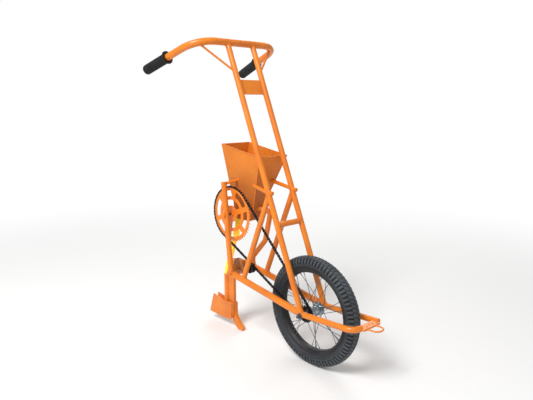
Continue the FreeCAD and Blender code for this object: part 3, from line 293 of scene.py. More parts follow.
# ---- Weld beads ----------------------------------------------------------------------------
# Arc-welded fillets where one tube is coped on to another: a rippled bead of filler round
# the whole joint, and short straight runs beside flat plates. They are under the same paint.
UP = Vector((0.0, 0.0, 1.0))
LEFT = Vector((0.0, 1.0, 0.0))
FORWARD = Vector((1.0, 0.0, 0.0))
HALF_WIDTH = 62.0
AXLE_HEIGHT = 203.0
HANDLE_X = -395.0
HANDLE_HEIGHT = 1165.0
RAIL_HEIGHT = 207.0
RAIL_END_X = -402.0
RAIL_RISE = 62.0
FRONT_X = 230.0
FRONT_HEIGHT = 217.0
CROSSBAR_HEIGHT = 508.0
STRUT_FOOT_X = -315.0
STRUT_TOP_HEIGHT = 613.0
BRACE_FOOT_HEIGHT = 1055.0
BRACE_HEAD = (-417.4, 181.5, 1157.1)
PLATE_LOW = 974.0
PLATE_HIGH = 1029.0
BAR_CROSSING_HEIGHT = 622.0
BAR_END = (-150.0, HALF_WIDTH, 620.5)
POST_FOOT = (-380.0, -70.0, 269.6)
POST_HEAD = (-418.7, -70.0, 634.2)
STAY_FOOT_X = -394.0
HOPPER_TILT = math.radians(10.0)
HOPPER_RIM = (-350.0, 29.0, 762.0)
HOPPER_DEPTH = 232.0
HOPPER_WIDTH = 145.0
HOPPER_LENGTH = 224.0
WIDTH_TAPER = 97.0
LENGTH_TAPER = 102.0
TUBE = 10.65
REAR_RAIL = 12.7
HANDLE_TUBE = 13.45
BAR = 7.5
BRACE = 4.0
STRAP = 5.5
STRAP_ALONG = -0.29
STRAP_DEPTH = 126.0
STRAP_HEIGHT = 627.2
BEAD = 2.1
THIN_BEAD = 1.3
RIPPLE_PITCH = 2.6
RIPPLE_DEPTH = 0.16
WELD_DISTANCE = 1e-6
SHARP_ANGLE = math.radians(32)


def between(start, end, share):
    return start + (end - start) * share


def standing(origin, direction):
    """The turn and move that stand a shape's Z along a direction at a place."""
    return Matrix.Translation(origin) @ direction.to_track_quat("Z", "Y").to_matrix().to_4x4()


def turned(profile, place, steps=40):
    """A turned piece: (radius, height) points in millimetres spun round Z, then placed."""
    shape = bmesh.new()
    points = [shape.verts.new((radius * MM, 0.0, height * MM)) for radius, height in profile]
    lines = [shape.edges.new(pair) for pair in zip(points, points[1:])]
    bmesh.ops.spin(shape, geom=points + lines, cent=(0.0, 0.0, 0.0), axis=(0.0, 0.0, 1.0),
                   angle=math.tau, steps=steps, use_merge=True)
    bmesh.ops.remove_doubles(shape, verts=shape.verts, dist=WELD_DISTANCE)
    bmesh.ops.recalc_face_normals(shape, faces=shape.faces)
    shape.transform(place)
    return shape


def joined(shapes):
    """Several shapes gathered into one."""
    whole = bmesh.new()
    for shape in shapes:
        mesh = bpy.data.meshes.new("gathered")
        shape.to_mesh(mesh)
        shape.free()
        whole.from_mesh(mesh)
        bpy.data.meshes.remove(mesh)
    return whole


def make_piece(name, shape, material):
    """A finished piece's object, smooth except at its hard edges."""
    mesh = bpy.data.meshes.new(name)
    shape.to_mesh(mesh)
    shape.free()
    mesh.materials.append(material)
    mesh.shade_smooth()
    mesh.set_sharp_from_angle(angle=SHARP_ANGLE)
    piece = bpy.data.objects.new(name, mesh)
    scene.collection.objects.link(piece)
    return piece


def leaving_tube(point, direction, radius):
    """For a line inside a tube, how far it runs until it comes out of the tube's wall."""
    def reach(start, along):
        offset = start - point
        offset -= direction * offset.dot(direction)
        across = along - direction * along.dot(direction)
        size = across.dot(across)
        half = offset.dot(across)
        rest = offset.dot(offset) - (radius * MM) ** 2
        return (math.sqrt(max(half * half - size * rest, 0.0)) - half) / size
    return reach


def leaving_sheet(point, normal):
    """How far a line runs until it meets a flat sheet."""
    def reach(start, along):
        return (point - start).dot(normal) / along.dot(normal)
    return reach


def weld_ring(origin, along, radius, hosts, bead=BEAD):
    """A rippled bead round a tube, each point slid along the tube to where its host ends."""
    sides = 8
    profile = [(radius + bead * math.cos(math.tau * i / sides), bead * math.sin(math.tau * i / sides))
               for i in range(sides + 1)]
    steps = 48
    shape = turned(profile, Matrix.Identity(4), steps)
    ripples = max(8, round(math.tau * radius / RIPPLE_PITCH / 2))
    place = standing(origin, along)
    for vert in shape.verts:
        angle = math.atan2(vert.co.y, vert.co.x)
        core = Vector((math.cos(angle), math.sin(angle), 0.0)) * radius * MM
        swell = 1.0 + RIPPLE_DEPTH * math.sin(ripples * angle)
        start = place @ core
        slide = max(host(start, along) for host in hosts)
        vert.co = place @ (core + (vert.co - core) * swell) + along * slide
    return shape


def weld_run(start, end, bead=BEAD):
    """A straight rippled bead between two places."""
    length = (end - start).length / MM
    count = max(4, round(length / RIPPLE_PITCH * 2))
    profile = [(0.0, 0.0)]
    for i in range(1, count):
        swell = 1.0 + RIPPLE_DEPTH * (1 if i % 2 else -1)
        profile.append((bead * swell * min(1.0, 0.5 + i / 2, 0.5 + (count - i) / 2), length * i / count))
    profile.append((0.0, length))
    return turned(profile, standing(start, (end - start).normalized()), 10)


def on_side(place, side):
    """A place given for the left, or its mirror image; side is -1 for right, 1 for left."""
    x, y, z = place
    return at(x, side * y, z)


def upright_at(z, side):
    """A point on an upright's centre line at a height."""
    return at(HANDLE_X * (z - AXLE_HEIGHT) / (HANDLE_HEIGHT - AXLE_HEIGHT), side * HALF_WIDTH, z)


def rear_rail_at(x, side):
    """A point on a rear rail's centre line."""
    return at(x, side * HALF_WIDTH, RAIL_HEIGHT + x * RAIL_RISE / RAIL_END_X)


def leaving_rear_rail(side):
    """For a line inside a rear rail, how far it runs until it comes out."""
    ahead = rear_rail_at(0.0, side)
    return leaving_tube(ahead, (rear_rail_at(RAIL_END_X, side) - ahead).normalized(), REAR_RAIL)


def hopper_at(along, side, depth):
    """A point on the hopper: along its rim from the middle, on a side, and down its wall."""
    x, y, z = HOPPER_RIM
    width = HOPPER_WIDTH - WIDTH_TAPER * depth / HOPPER_DEPTH
    length = HOPPER_LENGTH - LENGTH_TAPER * depth / HOPPER_DEPTH
    reach = along * length / 2
    return at(x + reach * math.cos(HOPPER_TILT) - depth * math.sin(HOPPER_TILT), y + side * width / 2,
              z - reach * math.sin(HOPPER_TILT) - depth * math.cos(HOPPER_TILT))


handle_middle = at(HANDLE_X, 0.0, HANDLE_HEIGHT)
rail_ahead = (at(FRONT_X, 0.0, FRONT_HEIGHT) - at(0.0, 0.0, RAIL_HEIGHT)).normalized()
welds = []
for side in (-1, 1):
    foot, top = upright_at(AXLE_HEIGHT, side), upright_at(HANDLE_HEIGHT, side)
    rise = (top - foot).normalized()
    inward = LEFT * -side
    on_upright = leaving_tube(foot, rise, TUBE)
    on_rear_rail = leaving_rear_rail(side)
    on_front_rail = leaving_tube(rear_rail_at(0.0, side), rail_ahead, TUBE)
    welds.append(weld_ring(top, -rise, TUBE, [leaving_tube(handle_middle, LEFT, HANDLE_TUBE)]))
    welds.append(weld_ring(foot, rise, TUBE, [on_rear_rail, on_front_rail]))
    welds.append(weld_ring(upright_at(CROSSBAR_HEIGHT, side), inward, TUBE, [on_upright]))
    strut_foot, strut_top = rear_rail_at(STRUT_FOOT_X, side), upright_at(STRUT_TOP_HEIGHT, side)
    strut_rise = (strut_top - strut_foot).normalized()
    welds.append(weld_ring(strut_foot, strut_rise, TUBE, [on_rear_rail]))
    welds.append(weld_ring(strut_top, -strut_rise, TUBE, [on_upright]))
    brace_foot, brace_head = upright_at(BRACE_FOOT_HEIGHT, side), on_side(BRACE_HEAD, side)
    brace_rise = (brace_head - brace_foot).normalized()
    bend_line = Vector((-0.66, side * 0.72, -0.23)).normalized()
    welds.append(weld_ring(brace_foot, brace_rise, BRACE, [on_upright], THIN_BEAD))
    welds.append(weld_ring(brace_head, -brace_rise, BRACE,
                           [leaving_tube(brace_head, bend_line, HANDLE_TUBE)], THIN_BEAD))
    crossing = upright_at(BAR_CROSSING_HEIGHT, side)
    bar_line = (on_side(BAR_END, side) - crossing).normalized()
    for way in (bar_line, -bar_line):
        welds.append(weld_ring(crossing, way, BAR, [on_upright], 1.6))
    plate_low, plate_high = upright_at(PLATE_LOW, side), upright_at(PLATE_HIGH, side)
    beside = inward * (TUBE - 0.4) * MM
    for face in (-1.6, 1.6):
        shift = beside + Vector((face * MM, 0.0, 0.0))
        welds.append(weld_run(plate_low + shift, plate_high + shift, 1.2))
    for end in (-1, 1):
        welds.append(weld_run(hopper_at(end, side, 1.0), hopper_at(end, side, HOPPER_DEPTH - 1.0), 1.5))
post_foot, post_head = at(*POST_FOOT), at(*POST_HEAD)
post_rise = (post_head - post_foot).normalized()
welds.append(weld_ring(post_foot, post_rise, TUBE, [leaving_rear_rail(-1)]))
strap_end, strap_start = hopper_at(STRAP_ALONG, -1, STRAP_DEPTH), at(*POST_HEAD[:2], STRAP_HEIGHT)
strap_line = (strap_end - strap_start).normalized()
wall_corner = hopper_at(-1, -1, 0.0)
wall_normal = (hopper_at(1, -1, 0.0) - wall_corner).cross(hopper_at(-1, -1, 200.0) - wall_corner).normalized()
welds.append(weld_ring(strap_start, strap_line, STRAP, [leaving_tube(post_foot, post_rise, TUBE)], 1.5))
welds.append(weld_ring(strap_start, strap_line, STRAP, [leaving_sheet(wall_corner, wall_normal)], 1.5))
for x, y in ((220.5, 51.3), (220.0, -24.6)):
    for z in (213.2, 220.8):
        welds.append(weld_run(at(x, y, z), at(x + 17.0, y, z), THIN_BEAD))
welds.append(weld_ring(rear_rail_at(STAY_FOOT_X, 1), UP, TUBE, [leaving_rear_rail(1)]))
for y in (-16.0, 30.0):
    plate_edge = leaving_sheet(at(250.5, y, FRONT_HEIGHT), FORWARD)
    welds.append(weld_ring(at(250.0, y, FRONT_HEIGHT), FORWARD, 3.0, [plate_edge], 1.4))
frame_welds = make_piece("frame_welds", joined(welds), enamel)
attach(frame_welds, "frame")

# ---- Tube end caps -------------------------------------------------------------------------
# Slightly domed steel discs that close the open tube ends at the back and front of the rails,
# at the ends of the rear crosspiece, on the post's head and on the stubs of the hopper bars.
# Tacked on and painted.
CAP_RISE = 1.8
CROSSPIECE = (-390.0, HALF_WIDTH, 286.9)
CROSSPIECE_RADIUS = 11.0


def end_cap(origin, direction, radius):
    profile = [(0.0, -1.0), (radius, -1.0), (radius + 0.2, 0.0), (radius - 0.6, 0.9),
               (radius * 0.7, 1.4), (radius * 0.3, CAP_RISE), (0.0, CAP_RISE)]
    return turned(profile, standing(origin, direction), 32)


caps = []
for side in (-1, 1):
    back, ahead = rear_rail_at(RAIL_END_X, side), rear_rail_at(0.0, side)
    caps.append(end_cap(back, (back - ahead).normalized(), REAR_RAIL))
    caps.append(end_cap(on_side(CROSSPIECE, side), LEFT * side, CROSSPIECE_RADIUS))
    stub = on_side(BAR_END, side)
    caps.append(end_cap(stub, (stub - upright_at(BAR_CROSSING_HEIGHT, side)).normalized(), BAR))
caps.append(end_cap(post_head, post_rise, TUBE))
caps.append(end_cap(at(237.0, HALF_WIDTH, 217.3), rail_ahead, TUBE))
caps.append(end_cap(at(FRONT_X, -26.0, FRONT_HEIGHT), LEFT, TUBE))
tube_caps = make_piece("tube_end_caps", joined(caps), enamel)
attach(tube_caps, "frame")

# ---- Hand grips ----------------------------------------------------------------------------
# Moulded black rubber sleeves pushed on to the handlebar's ends: a rounded closed end,
# rings of shallow ribs for the palm, and a flange that stops the hand at the inner end.
GRIP_END = (-673.0, 246.0, 1067.0)
GRIP_START = (-395.0, 202.0, 1165.0)
GRIP_LENGTH = 134.0
GRIP_RADIUS = 19.5
GRIP_RIBS = 17
RIB_FROM = 14.0
RIB_TO = 120.0
RIB_DEPTH = 1.3

rubber = finish("grip_rubber", (0.014, 0.014, 0.013), (0.007, 0.008, 0.009), (0.045, 0.043, 0.040),
                0.50, patch_scale=22.0, wear=0.6, skin_scale=900.0, skin_depth=0.0002)
for side, name in ((-1, "right_grip"), (1, "left_grip")):
    end, inner = on_side(GRIP_END, side), on_side(GRIP_START, side)
    profile = [(0.0, 0.0), (11.0, 0.3), (15.5, 1.2), (18.0, 3.0), (19.2, 5.6), (GRIP_RADIUS, 9.0)]
    pitch = (RIB_TO - RIB_FROM) / GRIP_RIBS
    for rib in range(GRIP_RIBS):
        start = RIB_FROM + rib * pitch
        low = GRIP_RADIUS - RIB_DEPTH
        profile += [(GRIP_RADIUS, start), (low, start + 0.14 * pitch), (low, start + 0.34 * pitch),
                    (GRIP_RADIUS, start + 0.5 * pitch), (GRIP_RADIUS, start + 0.96 * pitch)]
    profile += [(GRIP_RADIUS, 122.0), (20.4, 125.5), (23.6, 127.6), (25.0, 129.4), (25.0, 131.8),
                (24.0, 133.6), (22.0, GRIP_LENGTH), (14.6, GRIP_LENGTH), (13.2, 132.6), (0.0, 132.6)]
    sleeve = turned(profile, standing(end, (inner - end).normalized()), 64)
    grip = make_piece(name + "_sleeve", sleeve, rubber)
    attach(grip, "frame")
    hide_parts(name)

# ---- Seed hopper ---------------------------------------------------------------------------
# A four-sided tapered box of two-millimetre sheet, welded down its corners, open at the top.
# The rim is hemmed over a wire so that it is stiff and has no sharp edge. Seed dust and
# handling have dulled its enamel, and its colour darkens down towards the outlet as painted shade.
HEM_RADIUS = 1.9
# The dark brown of the painted shade low on the hopper's walls, and the heights it spans.
PAINTED_SHADE = (0.360, 0.125, 0.030)
SHADE_FROM_HEIGHT = 740.0
SHADE_TO_HEIGHT = 540.0

dull_shaded_enamel = finish("dull_enamel_painted_shade", (0.800, 0.235, 0.020), (0.680, 0.180, 0.016), ENAMEL_RUBBED, 0.46,
               patch_scale=7.0)
tree = dull_shaded_enamel.node_tree
shader = tree.nodes["Principled BSDF"]
height = add(tree, "SeparateXYZ", {0: add(tree, "TexCoord").outputs["Object"]}).outputs["Z"]
# Painted shade: lower down the walls the colour goes towards dark brown.
low = add(tree, "MapRange", {0: height, 1: at(0.0, 0.0, SHADE_FROM_HEIGHT).z, 2: at(0.0, 0.0, SHADE_TO_HEIGHT).z,
                             3: 0.05, 4: 0.62}, interpolation_type="SMOOTHSTEP").outputs[0]
clean = shader.inputs["Base Color"].links[0].from_socket
tree.links.new(mixed(tree, low, clean, PAINTED_SHADE), shader.inputs["Base Color"])
dress(["hopper_right_wall", "hopper_left_wall", "hopper_rear_wall", "hopper_front_wall",
       "metering_housing"], dull_shaded_enamel)

hems = []
corners = [hopper_at(-1, -1, 0.6), hopper_at(1, -1, 0.6), hopper_at(1, 1, 0.6), hopper_at(-1, 1, 0.6)]
for start, end in zip(corners, corners[1:] + corners[:1]):
    length = (end - start).length / MM
    profile = [(0.0, -HEM_RADIUS), (HEM_RADIUS * 0.7, -HEM_RADIUS * 0.7), (HEM_RADIUS, 0.0),
               (HEM_RADIUS, length), (HEM_RADIUS * 0.7, length + HEM_RADIUS * 0.7),
               (0.0, length + HEM_RADIUS)]
    hems.append(turned(profile, standing(start, (end - start).normalized()), 16))
hopper_hem = make_piece("hopper_hem", joined(hems), enamel)
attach(hopper_hem, "frame")

# ---- Feed housing and metering shaft -------------------------------------------------------
# The block under the hopper holds the fluted feed roller. Hexagon bolts hold its two side
# covers. The plated steel shaft runs out through the post, where a capped set collar keeps it.
SHAFT_X = -408.0
SHAFT_HEIGHT = 505.0
BOLT_PLACES = [(-438.0, 529.0), (-427.0, 489.0), (-352.0, 489.0), (-343.0, 515.0)]
HOUSING_SIDES = ((5.0, -LEFT), (53.0, LEFT))

plated = finish("dull_zinc", (0.200, 0.215, 0.250), (0.120, 0.130, 0.155), (0.420, 0.430, 0.450), 0.34,
                patch_scale=30.0, wear=0.5, skin_scale=700.0, skin_depth=0.00004, metallic=0.8, shine=0.5)
dress(["axle", "metering_shaft", "idler_pin"], plated)


def hexagon_head(origin, direction, flats, height, washer=0.0):
    """A hexagon bolt head or nut with chamfered corners, on a washer if it has one."""
    across = flats / math.sqrt(3.0)
    head = bmesh.new()
    bmesh.ops.create_cone(head, cap_ends=True, segments=6, radius1=across * MM, radius2=across * MM,
                          depth=height * MM, matrix=Matrix.Translation((0.0, 0.0, height / 2 * MM)))
    top = [edge for edge in head.edges if all(vert.co.z > height * 0.9 * MM for vert in edge.verts)]
    bmesh.ops.bevel(head, geom=top, offset=flats * 0.07 * MM, affect="EDGES", segments=2, profile=0.5,
                    material=-1)
    head.transform(Matrix.Translation((0.0, 0.0, washer * MM)))
    head.transform(standing(origin, direction))
    if not washer:
        return head
    reach = flats * 0.85
    ring = turned([(0.0, -0.2), (reach, -0.2), (reach + 0.15, 0.1), (reach, washer - 0.15),
                   (reach - 0.2, washer), (0.0, washer)], standing(origin, direction), 28)
    return joined([head, ring])


housing_bolts = make_piece("housing_bolts", joined([
    hexagon_head(at(x, y, z), outward, 8.0, 3.5, 0.8) for y, outward in HOUSING_SIDES for x, z in BOLT_PLACES
]), enamel)
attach(housing_bolts, "frame")

collar_profile = [(6.2, 0.0), (10.4, 0.0), (11.0, 0.6), (11.0, 4.8), (10.4, 5.4), (7.8, 5.8), (7.4, 7.0),
                  (6.6, 7.4), (0.0, 7.6)]
shaft_middle = at(SHAFT_X, 0.0, SHAFT_HEIGHT)
collar_place = standing(shaft_middle - LEFT * 81.4 * MM, -LEFT)
screw = hexagon_head(shaft_middle + Vector((0.0, -84.1 * MM, 10.6 * MM)), UP, 4.0, 1.6)
shaft_collar = make_piece("shaft_collar", joined([turned(collar_profile, collar_place), screw]), enamel)
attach(shaft_collar, "metering")

# ---- Chainwheel rivets ---------------------------------------------------------------------
# The toothed ring, its inner ring and their arms are one pressed plate, painted with the
# frame. Six domed rivets hold the plate on its hub's disc; their heads show on both faces.
RIVET_CIRCLE = 25.0
RIVET_HEAD = 3.2
RIVETS = 6
RIVET_TURN = 49.5

rivets = []
dome = [(0.0, -0.3), (RIVET_HEAD, -0.3), (RIVET_HEAD, 0.3), (RIVET_HEAD * 0.8, 1.3), (RIVET_HEAD * 0.4, 1.9),
        (0.0, 2.1)]
for number in range(RIVETS):
    angle = math.radians(RIVET_TURN + 360.0 / RIVETS * number)
    for y, outward in ((-41.5, -LEFT), (-38.5, LEFT)):
        spot = at(SHAFT_X + RIVET_CIRCLE * math.cos(angle), y, SHAFT_HEIGHT + RIVET_CIRCLE * math.sin(angle))
        rivets.append(turned(dome, standing(spot, outward), 20))
chainwheel_rivets = make_piece("chainwheel_rivets", joined(rivets), enamel)
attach(chainwheel_rivets, "metering")

# ---- Chain ---------------------------------------------------------------------------------
# Half-inch bicycle roller chain of oiled dark steel: pairs of waisted side plates, inner and
# outer in turn, on rollers and riveted pins. It sits in the gaps between both wheels' teeth.
PITCH = 12.7
BIG_TEETH = 54
SMALL_TEETH = 14
CHAIN_Y = -40.0
ROLLER = 3.85
ROLLER_WIDTH = 4.4
PIN_RADIUS = 1.8
PIN_LENGTH = 8.5
PLATE_HEIGHT = 8.2
PLATE_THICKNESS = 0.75
PLATE_WAIST = 0.66
PLATE_INSETS = (2.3, 3.15)
BIG_FIRST, BIG_LAST = 35, 7
SMALL_FIRST, SMALL_LAST = 1, -5
RUN_LINKS = 40

oiled = finish("oiled_chain", (0.030, 0.031, 0.036), (0.012, 0.012, 0.015), (0.115, 0.118, 0.130), 0.34,
               patch_scale=60.0, wear=0.7, wear_width=0.0005, skin_scale=1400.0, skin_depth=0.00005,
               metallic=0.7, shine=0.5)


def on_wheel(x, z, teeth, gap):
    """A roller's place in one of a toothed wheel's gaps."""
    radius = PITCH / 2 / math.sin(math.pi / teeth)
    angle = math.tau * (gap + 0.5) / teeth
    return at(x + radius * math.cos(angle), CHAIN_Y, z + radius * math.sin(angle))


def run_between(start, end):
    """Rollers spaced evenly along a straight run, without its two ends."""
    return [between(start, end, i / RUN_LINKS) for i in range(1, RUN_LINKS)]


def link_plate(inset):
    """A waisted side plate one pitch long, lying in X and Z with its inner face at inset."""
    plate = bmesh.new()
    bmesh.ops.create_cube(plate, size=1.0)
    size = Vector((PITCH + PLATE_HEIGHT, PLATE_THICKNESS, PLATE_HEIGHT)) * MM
    plate.transform(Matrix.Diagonal((*size, 1.0)))
    bmesh.ops.bisect_plane(plate, geom=plate.verts[:] + plate.edges[:] + plate.faces[:],
                           plane_co=(0.0, 0.0, 0.0), plane_no=(1.0, 0.0, 0.0))
    for vert in plate.verts:
        if abs(vert.co.x) < WELD_DISTANCE:
            vert.co.z *= PLATE_WAIST
    ends = [edge for edge in plate.edges
            if all(abs(vert.co.x) > PITCH / 2 * MM for vert in edge.verts)
            and abs(edge.verts[0].co.y - edge.verts[1].co.y) > 0.5 * PLATE_THICKNESS * MM]
    bmesh.ops.bevel(plate, geom=ends, offset=PLATE_HEIGHT * 0.46 * MM, affect="EDGES", segments=4,
                    profile=0.5, material=-1)
    plate.transform(Matrix.Translation((0.0, (inset + PLATE_THICKNESS / 2) * MM, 0.0)))
    return plate


def mirrored_pair(shape):
    """A shape and its mirror image across the chain's middle plane."""
    other = shape.copy()
    other.transform(Matrix.Scale(-1.0, 4, (0.0, 1.0, 0.0)))
    bmesh.ops.recalc_face_normals(other, faces=other.faces)
    return joined([shape, other])


def as_mesh(shape):
    mesh = bpy.data.meshes.new("template")
    shape.to_mesh(mesh)
    shape.free()
    return mesh


def stamp(whole, mesh, place):
    """Adds a copy of a small mesh to a shape, at a place."""
    old = len(whole.verts)
    whole.from_mesh(mesh)
    whole.verts.ensure_lookup_table()
    bmesh.ops.transform(whole, matrix=place, verts=whole.verts[old:])


rollers = [on_wheel(SHAFT_X, SHAFT_HEIGHT, BIG_TEETH, gap) for gap in range(BIG_FIRST, BIG_LAST - 1, -1)]
small = [on_wheel(0.0, AXLE_HEIGHT, SMALL_TEETH, gap) for gap in range(SMALL_FIRST, SMALL_LAST - 1, -1)]
rollers = rollers + run_between(rollers[-1], small[0]) + small + run_between(small[-1], rollers[0])
link_meshes = [as_mesh(mirrored_pair(link_plate(inset))) for inset in PLATE_INSETS]
barrel = bmesh.new()
for sides, radius, width in ((12, ROLLER, ROLLER_WIDTH), (8, PIN_RADIUS, PIN_LENGTH)):
    bmesh.ops.create_cone(barrel, cap_ends=True, segments=sides, radius1=radius * MM, radius2=radius * MM,
                          depth=width * MM, matrix=Matrix.Rotation(math.pi / 2, 4, "X"))
barrel_mesh = as_mesh(barrel)
chain = bmesh.new()
for number, (here, there) in enumerate(zip(rollers, rollers[1:] + rollers[:1])):
    run = there - here
    slope = Matrix.Rotation(-math.atan2(run.z, run.x), 4, "Y")
    stamp(chain, link_meshes[number % 2], Matrix.Translation(between(here, there, 0.5)) @ slope)
    stamp(chain, barrel_mesh, Matrix.Translation(here))
roller_chain = make_piece("roller_chain", chain, oiled)
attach(roller_chain, "frame")
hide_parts("chain")

# ---- Chain idler ---------------------------------------------------------------------------
# A flanged roller of dark moulded nylon. It turns on a plated pin in the right strut and
# holds up the chain's lower run.
nylon = finish("dark_nylon", (0.022, 0.030, 0.026), (0.012, 0.016, 0.015), (0.080, 0.085, 0.085), 0.46,
               patch_scale=40.0, wear=0.5, skin_scale=800.0, skin_depth=0.00006)
dress(["idler"], nylon)

# ---- Tyre ----------------------------------------------------------------------------------
# A moulded black rubber tyre. Close cross ribs wrap each shoulder and staggered blocks stand
# on the crown between them. The side walls are smooth and a little bloomed, with a raised
# moulding ring and a thick bead where they tuck into the rim. Its grooves are darkened as
# painted shade, its side walls a little and the bead more.
TYRE_RADIUS = 203.0
SECTION = 27.0
TREAD = 2.6
RIBS = 80
SAMPLES = 9
CROWN = 37.0
RIB_FROM_LEAN = 40.0
RIB_SHORT = 84.0
RIB_LONG = 90.0

carcass = SECTION - TREAD
middle_radius = TYRE_RADIUS - SECTION
tread_angles = [0.0, 5.0, 10.0, 15.0, 20.0, 25.0, 30.0, 36.0, 37.5, 39.5, 41.0, 47.0, 54.0, 61.0,
                68.0, 75.0, 83.0, 85.0, 89.0, 91.0]
skin_line = [(math.radians(angle), carcass) for angle in tread_angles]
skin_line += [(math.radians(angle), carcass + lift) for angle, lift in (
    (96.0, 0.0), (101.0, 0.0), (103.0, 0.9), (107.0, 0.9), (109.0, 0.0), (113.0, -0.3), (119.0, -1.0))]
half_section = [(middle_radius + reach * math.cos(angle), reach * math.sin(angle))
                for angle, reach in skin_line]
half_section += [(161.5, 17.9), (160.2, 18.3), (159.2, 17.6), (158.8, 15.2), (153.0, 14.9), (152.5, 12.0)]
section = [(radius, -y) for radius, y in reversed(half_section)] + half_section[1:]
section.append(section[0])


def tread_height(turn, lean):
    """How much of the tread's height stands at a place: turn in ribs, lean in degrees."""
    if abs(lean) < CROWN:
        shift = 0.5 if lean > 0 else 0.0
        slant = (turn + shift + abs(lean) / 90.0) % 1.0
        return 1.0 if 0.15 < slant < 0.85 and abs(lean) > 4.0 else 0.35
    if abs(lean) < RIB_FROM_LEAN:
        return 0.2
    reach = RIB_LONG if int(turn) % 2 else RIB_SHORT
    return 1.0 if abs(lean) < reach and 0.18 < turn % 1.0 < 0.72 else 0.0


tyre = turned(section, Matrix.Identity(4), RIBS * SAMPLES)
# Each point's share of the tyre's own colour; the rest is a painted shade of near black.
shade = tyre.verts.layers.float.new("unshaded_share")
for vert in tyre.verts:
    radius = math.hypot(vert.co.x, vert.co.y) / MM
    out, across = radius - middle_radius, vert.co.z / MM
    lean = abs(math.degrees(math.atan2(across, out)))
    if lean > RIB_LONG + 0.5 or math.hypot(out, across) < carcass - 0.5:
        # Painted shade on the side walls, darker at the bead.
        vert[shade] = 0.75 if lean < 100.0 else 0.45
        continue
    turn = (math.atan2(vert.co.y, vert.co.x) / math.tau * RIBS + 0.01) % RIBS
    height = tread_height(turn, math.copysign(lean, across))
    grow = 1.0 + TREAD * height / carcass
    scale = (middle_radius + out * grow) / radius
    vert.co = Vector((vert.co.x * scale, vert.co.y * scale, vert.co.z * grow))
    vert[shade] = height
tyre.transform(standing(axle, LEFT))

tyre_rubber = finish("tyre_rubber", (0.075, 0.084, 0.094), (0.052, 0.058, 0.066), (0.150, 0.158, 0.165),
                     0.50, patch_scale=14.0, wear=0.5, wear_width=0.0015, skin_scale=700.0,
                     skin_depth=0.00015)
tree = tyre_rubber.node_tree
shader = tree.nodes["Principled BSDF"]
unshaded_share = add(tree, "Attribute", attribute_name="unshaded_share").outputs["Fac"]
clean = shader.inputs["Base Color"].links[0].from_socket
# Painted shade: grooves, side walls and bead go towards near black.
tree.links.new(mixed(tree, unshaded_share, (0.010, 0.012, 0.014), clean), shader.inputs["Base Color"])
tyre_piece = make_piece("tyre_with_tread", tyre, tyre_rubber)
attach(tyre_piece, "wheel")
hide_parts("tyre")

# ---- Rim, spokes and valve -----------------------------------------------------------------
# A rolled steel rim in black enamel, laced with bright steel spokes. Each spoke ends in a
# small plated nipple at the rim and a flat head at the hub's flange. One rubber valve stem
# comes through the rim.
SPOKES = 28
RIM_INNER = 143.0
SPOKE_LEAD = math.radians(68.0)
FLANGE_HOLES = 21.0
FLANGE_Y = 28.5
NIPPLE_LENGTH = 10.0
NIPPLE_Y = 4.0
VALVE_TURN = math.radians(142.0)

rim_black = finish("rim_enamel", (0.030, 0.030, 0.033), (0.018, 0.018, 0.020), (0.170, 0.170, 0.175), 0.46,
                   patch_scale=18.0, wear=0.5, skin_scale=500.0, skin_depth=0.00006)
spoke_steel = finish("spoke_steel", (0.170, 0.176, 0.182), (0.110, 0.115, 0.120), (0.300, 0.305, 0.310), 0.34,
                     patch_scale=50.0, wear=0.2, skin_scale=900.0, skin_depth=0.00003, metallic=0.6,
                     shine=0.5)
dress(["rim"], rim_black)
dress(["spokes"], spoke_steel)
nipple = [(0.0, -1.0), (2.5, -1.0), (2.5, 0.5), (1.9, 1.2), (1.7, 2.0), (1.7, NIPPLE_LENGTH - 1.5),
          (1.4, NIPPLE_LENGTH), (0.0, NIPPLE_LENGTH)]
head = [(0.0, -0.3), (2.2, -0.3), (2.2, 0.5), (1.4, 1.1), (0.0, 1.2)]
small_parts = []
for number in range(SPOKES):
    far = 1 if number % 2 == 0 else -1
    inner = -1 if (number // 2) % 2 else 1
    hub_angle = math.tau * number / SPOKES
    rim_angle = hub_angle + SPOKE_LEAD * inner
    head_y = far * (FLANGE_Y + inner * 2.6)
    hole_x = FLANGE_HOLES * math.cos(hub_angle)
    hole_height = FLANGE_HOLES * math.sin(hub_angle) + AXLE_HEIGHT
    hub_end = at(hole_x, head_y, hole_height)
    rim_end = at(RIM_INNER * math.cos(rim_angle), far * NIPPLE_Y,
                 RIM_INNER * math.sin(rim_angle) + AXLE_HEIGHT)
    inwards = (hub_end - rim_end).normalized()
    small_parts.append(turned(nipple, standing(rim_end, inwards), 12))
    flange_face = at(hole_x, far * (FLANGE_Y - inner * 1.4), hole_height)
    small_parts.append(turned(head, standing(flange_face, LEFT * (-inner * far)), 12))
nipples = make_piece("spoke_nipples", joined(small_parts), plated)
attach(nipples, "wheel")

valve_out = Vector((math.cos(VALVE_TURN), 0.0, math.sin(VALVE_TURN)))
valve_profile = [(0.0, -2.0), (5.4, -2.0), (5.4, 0.8), (4.2, 2.0), (4.0, 12.0), (3.4, 17.0), (2.6, 18.5),
                 (2.6, 24.0), (2.2, 25.0), (0.0, 25.2)]
valve_place = standing(axle + valve_out * RIM_INNER * MM, -valve_out)
valve = make_piece("valve_stem", turned(valve_profile, valve_place, 24), rubber)
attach(valve, "wheel")
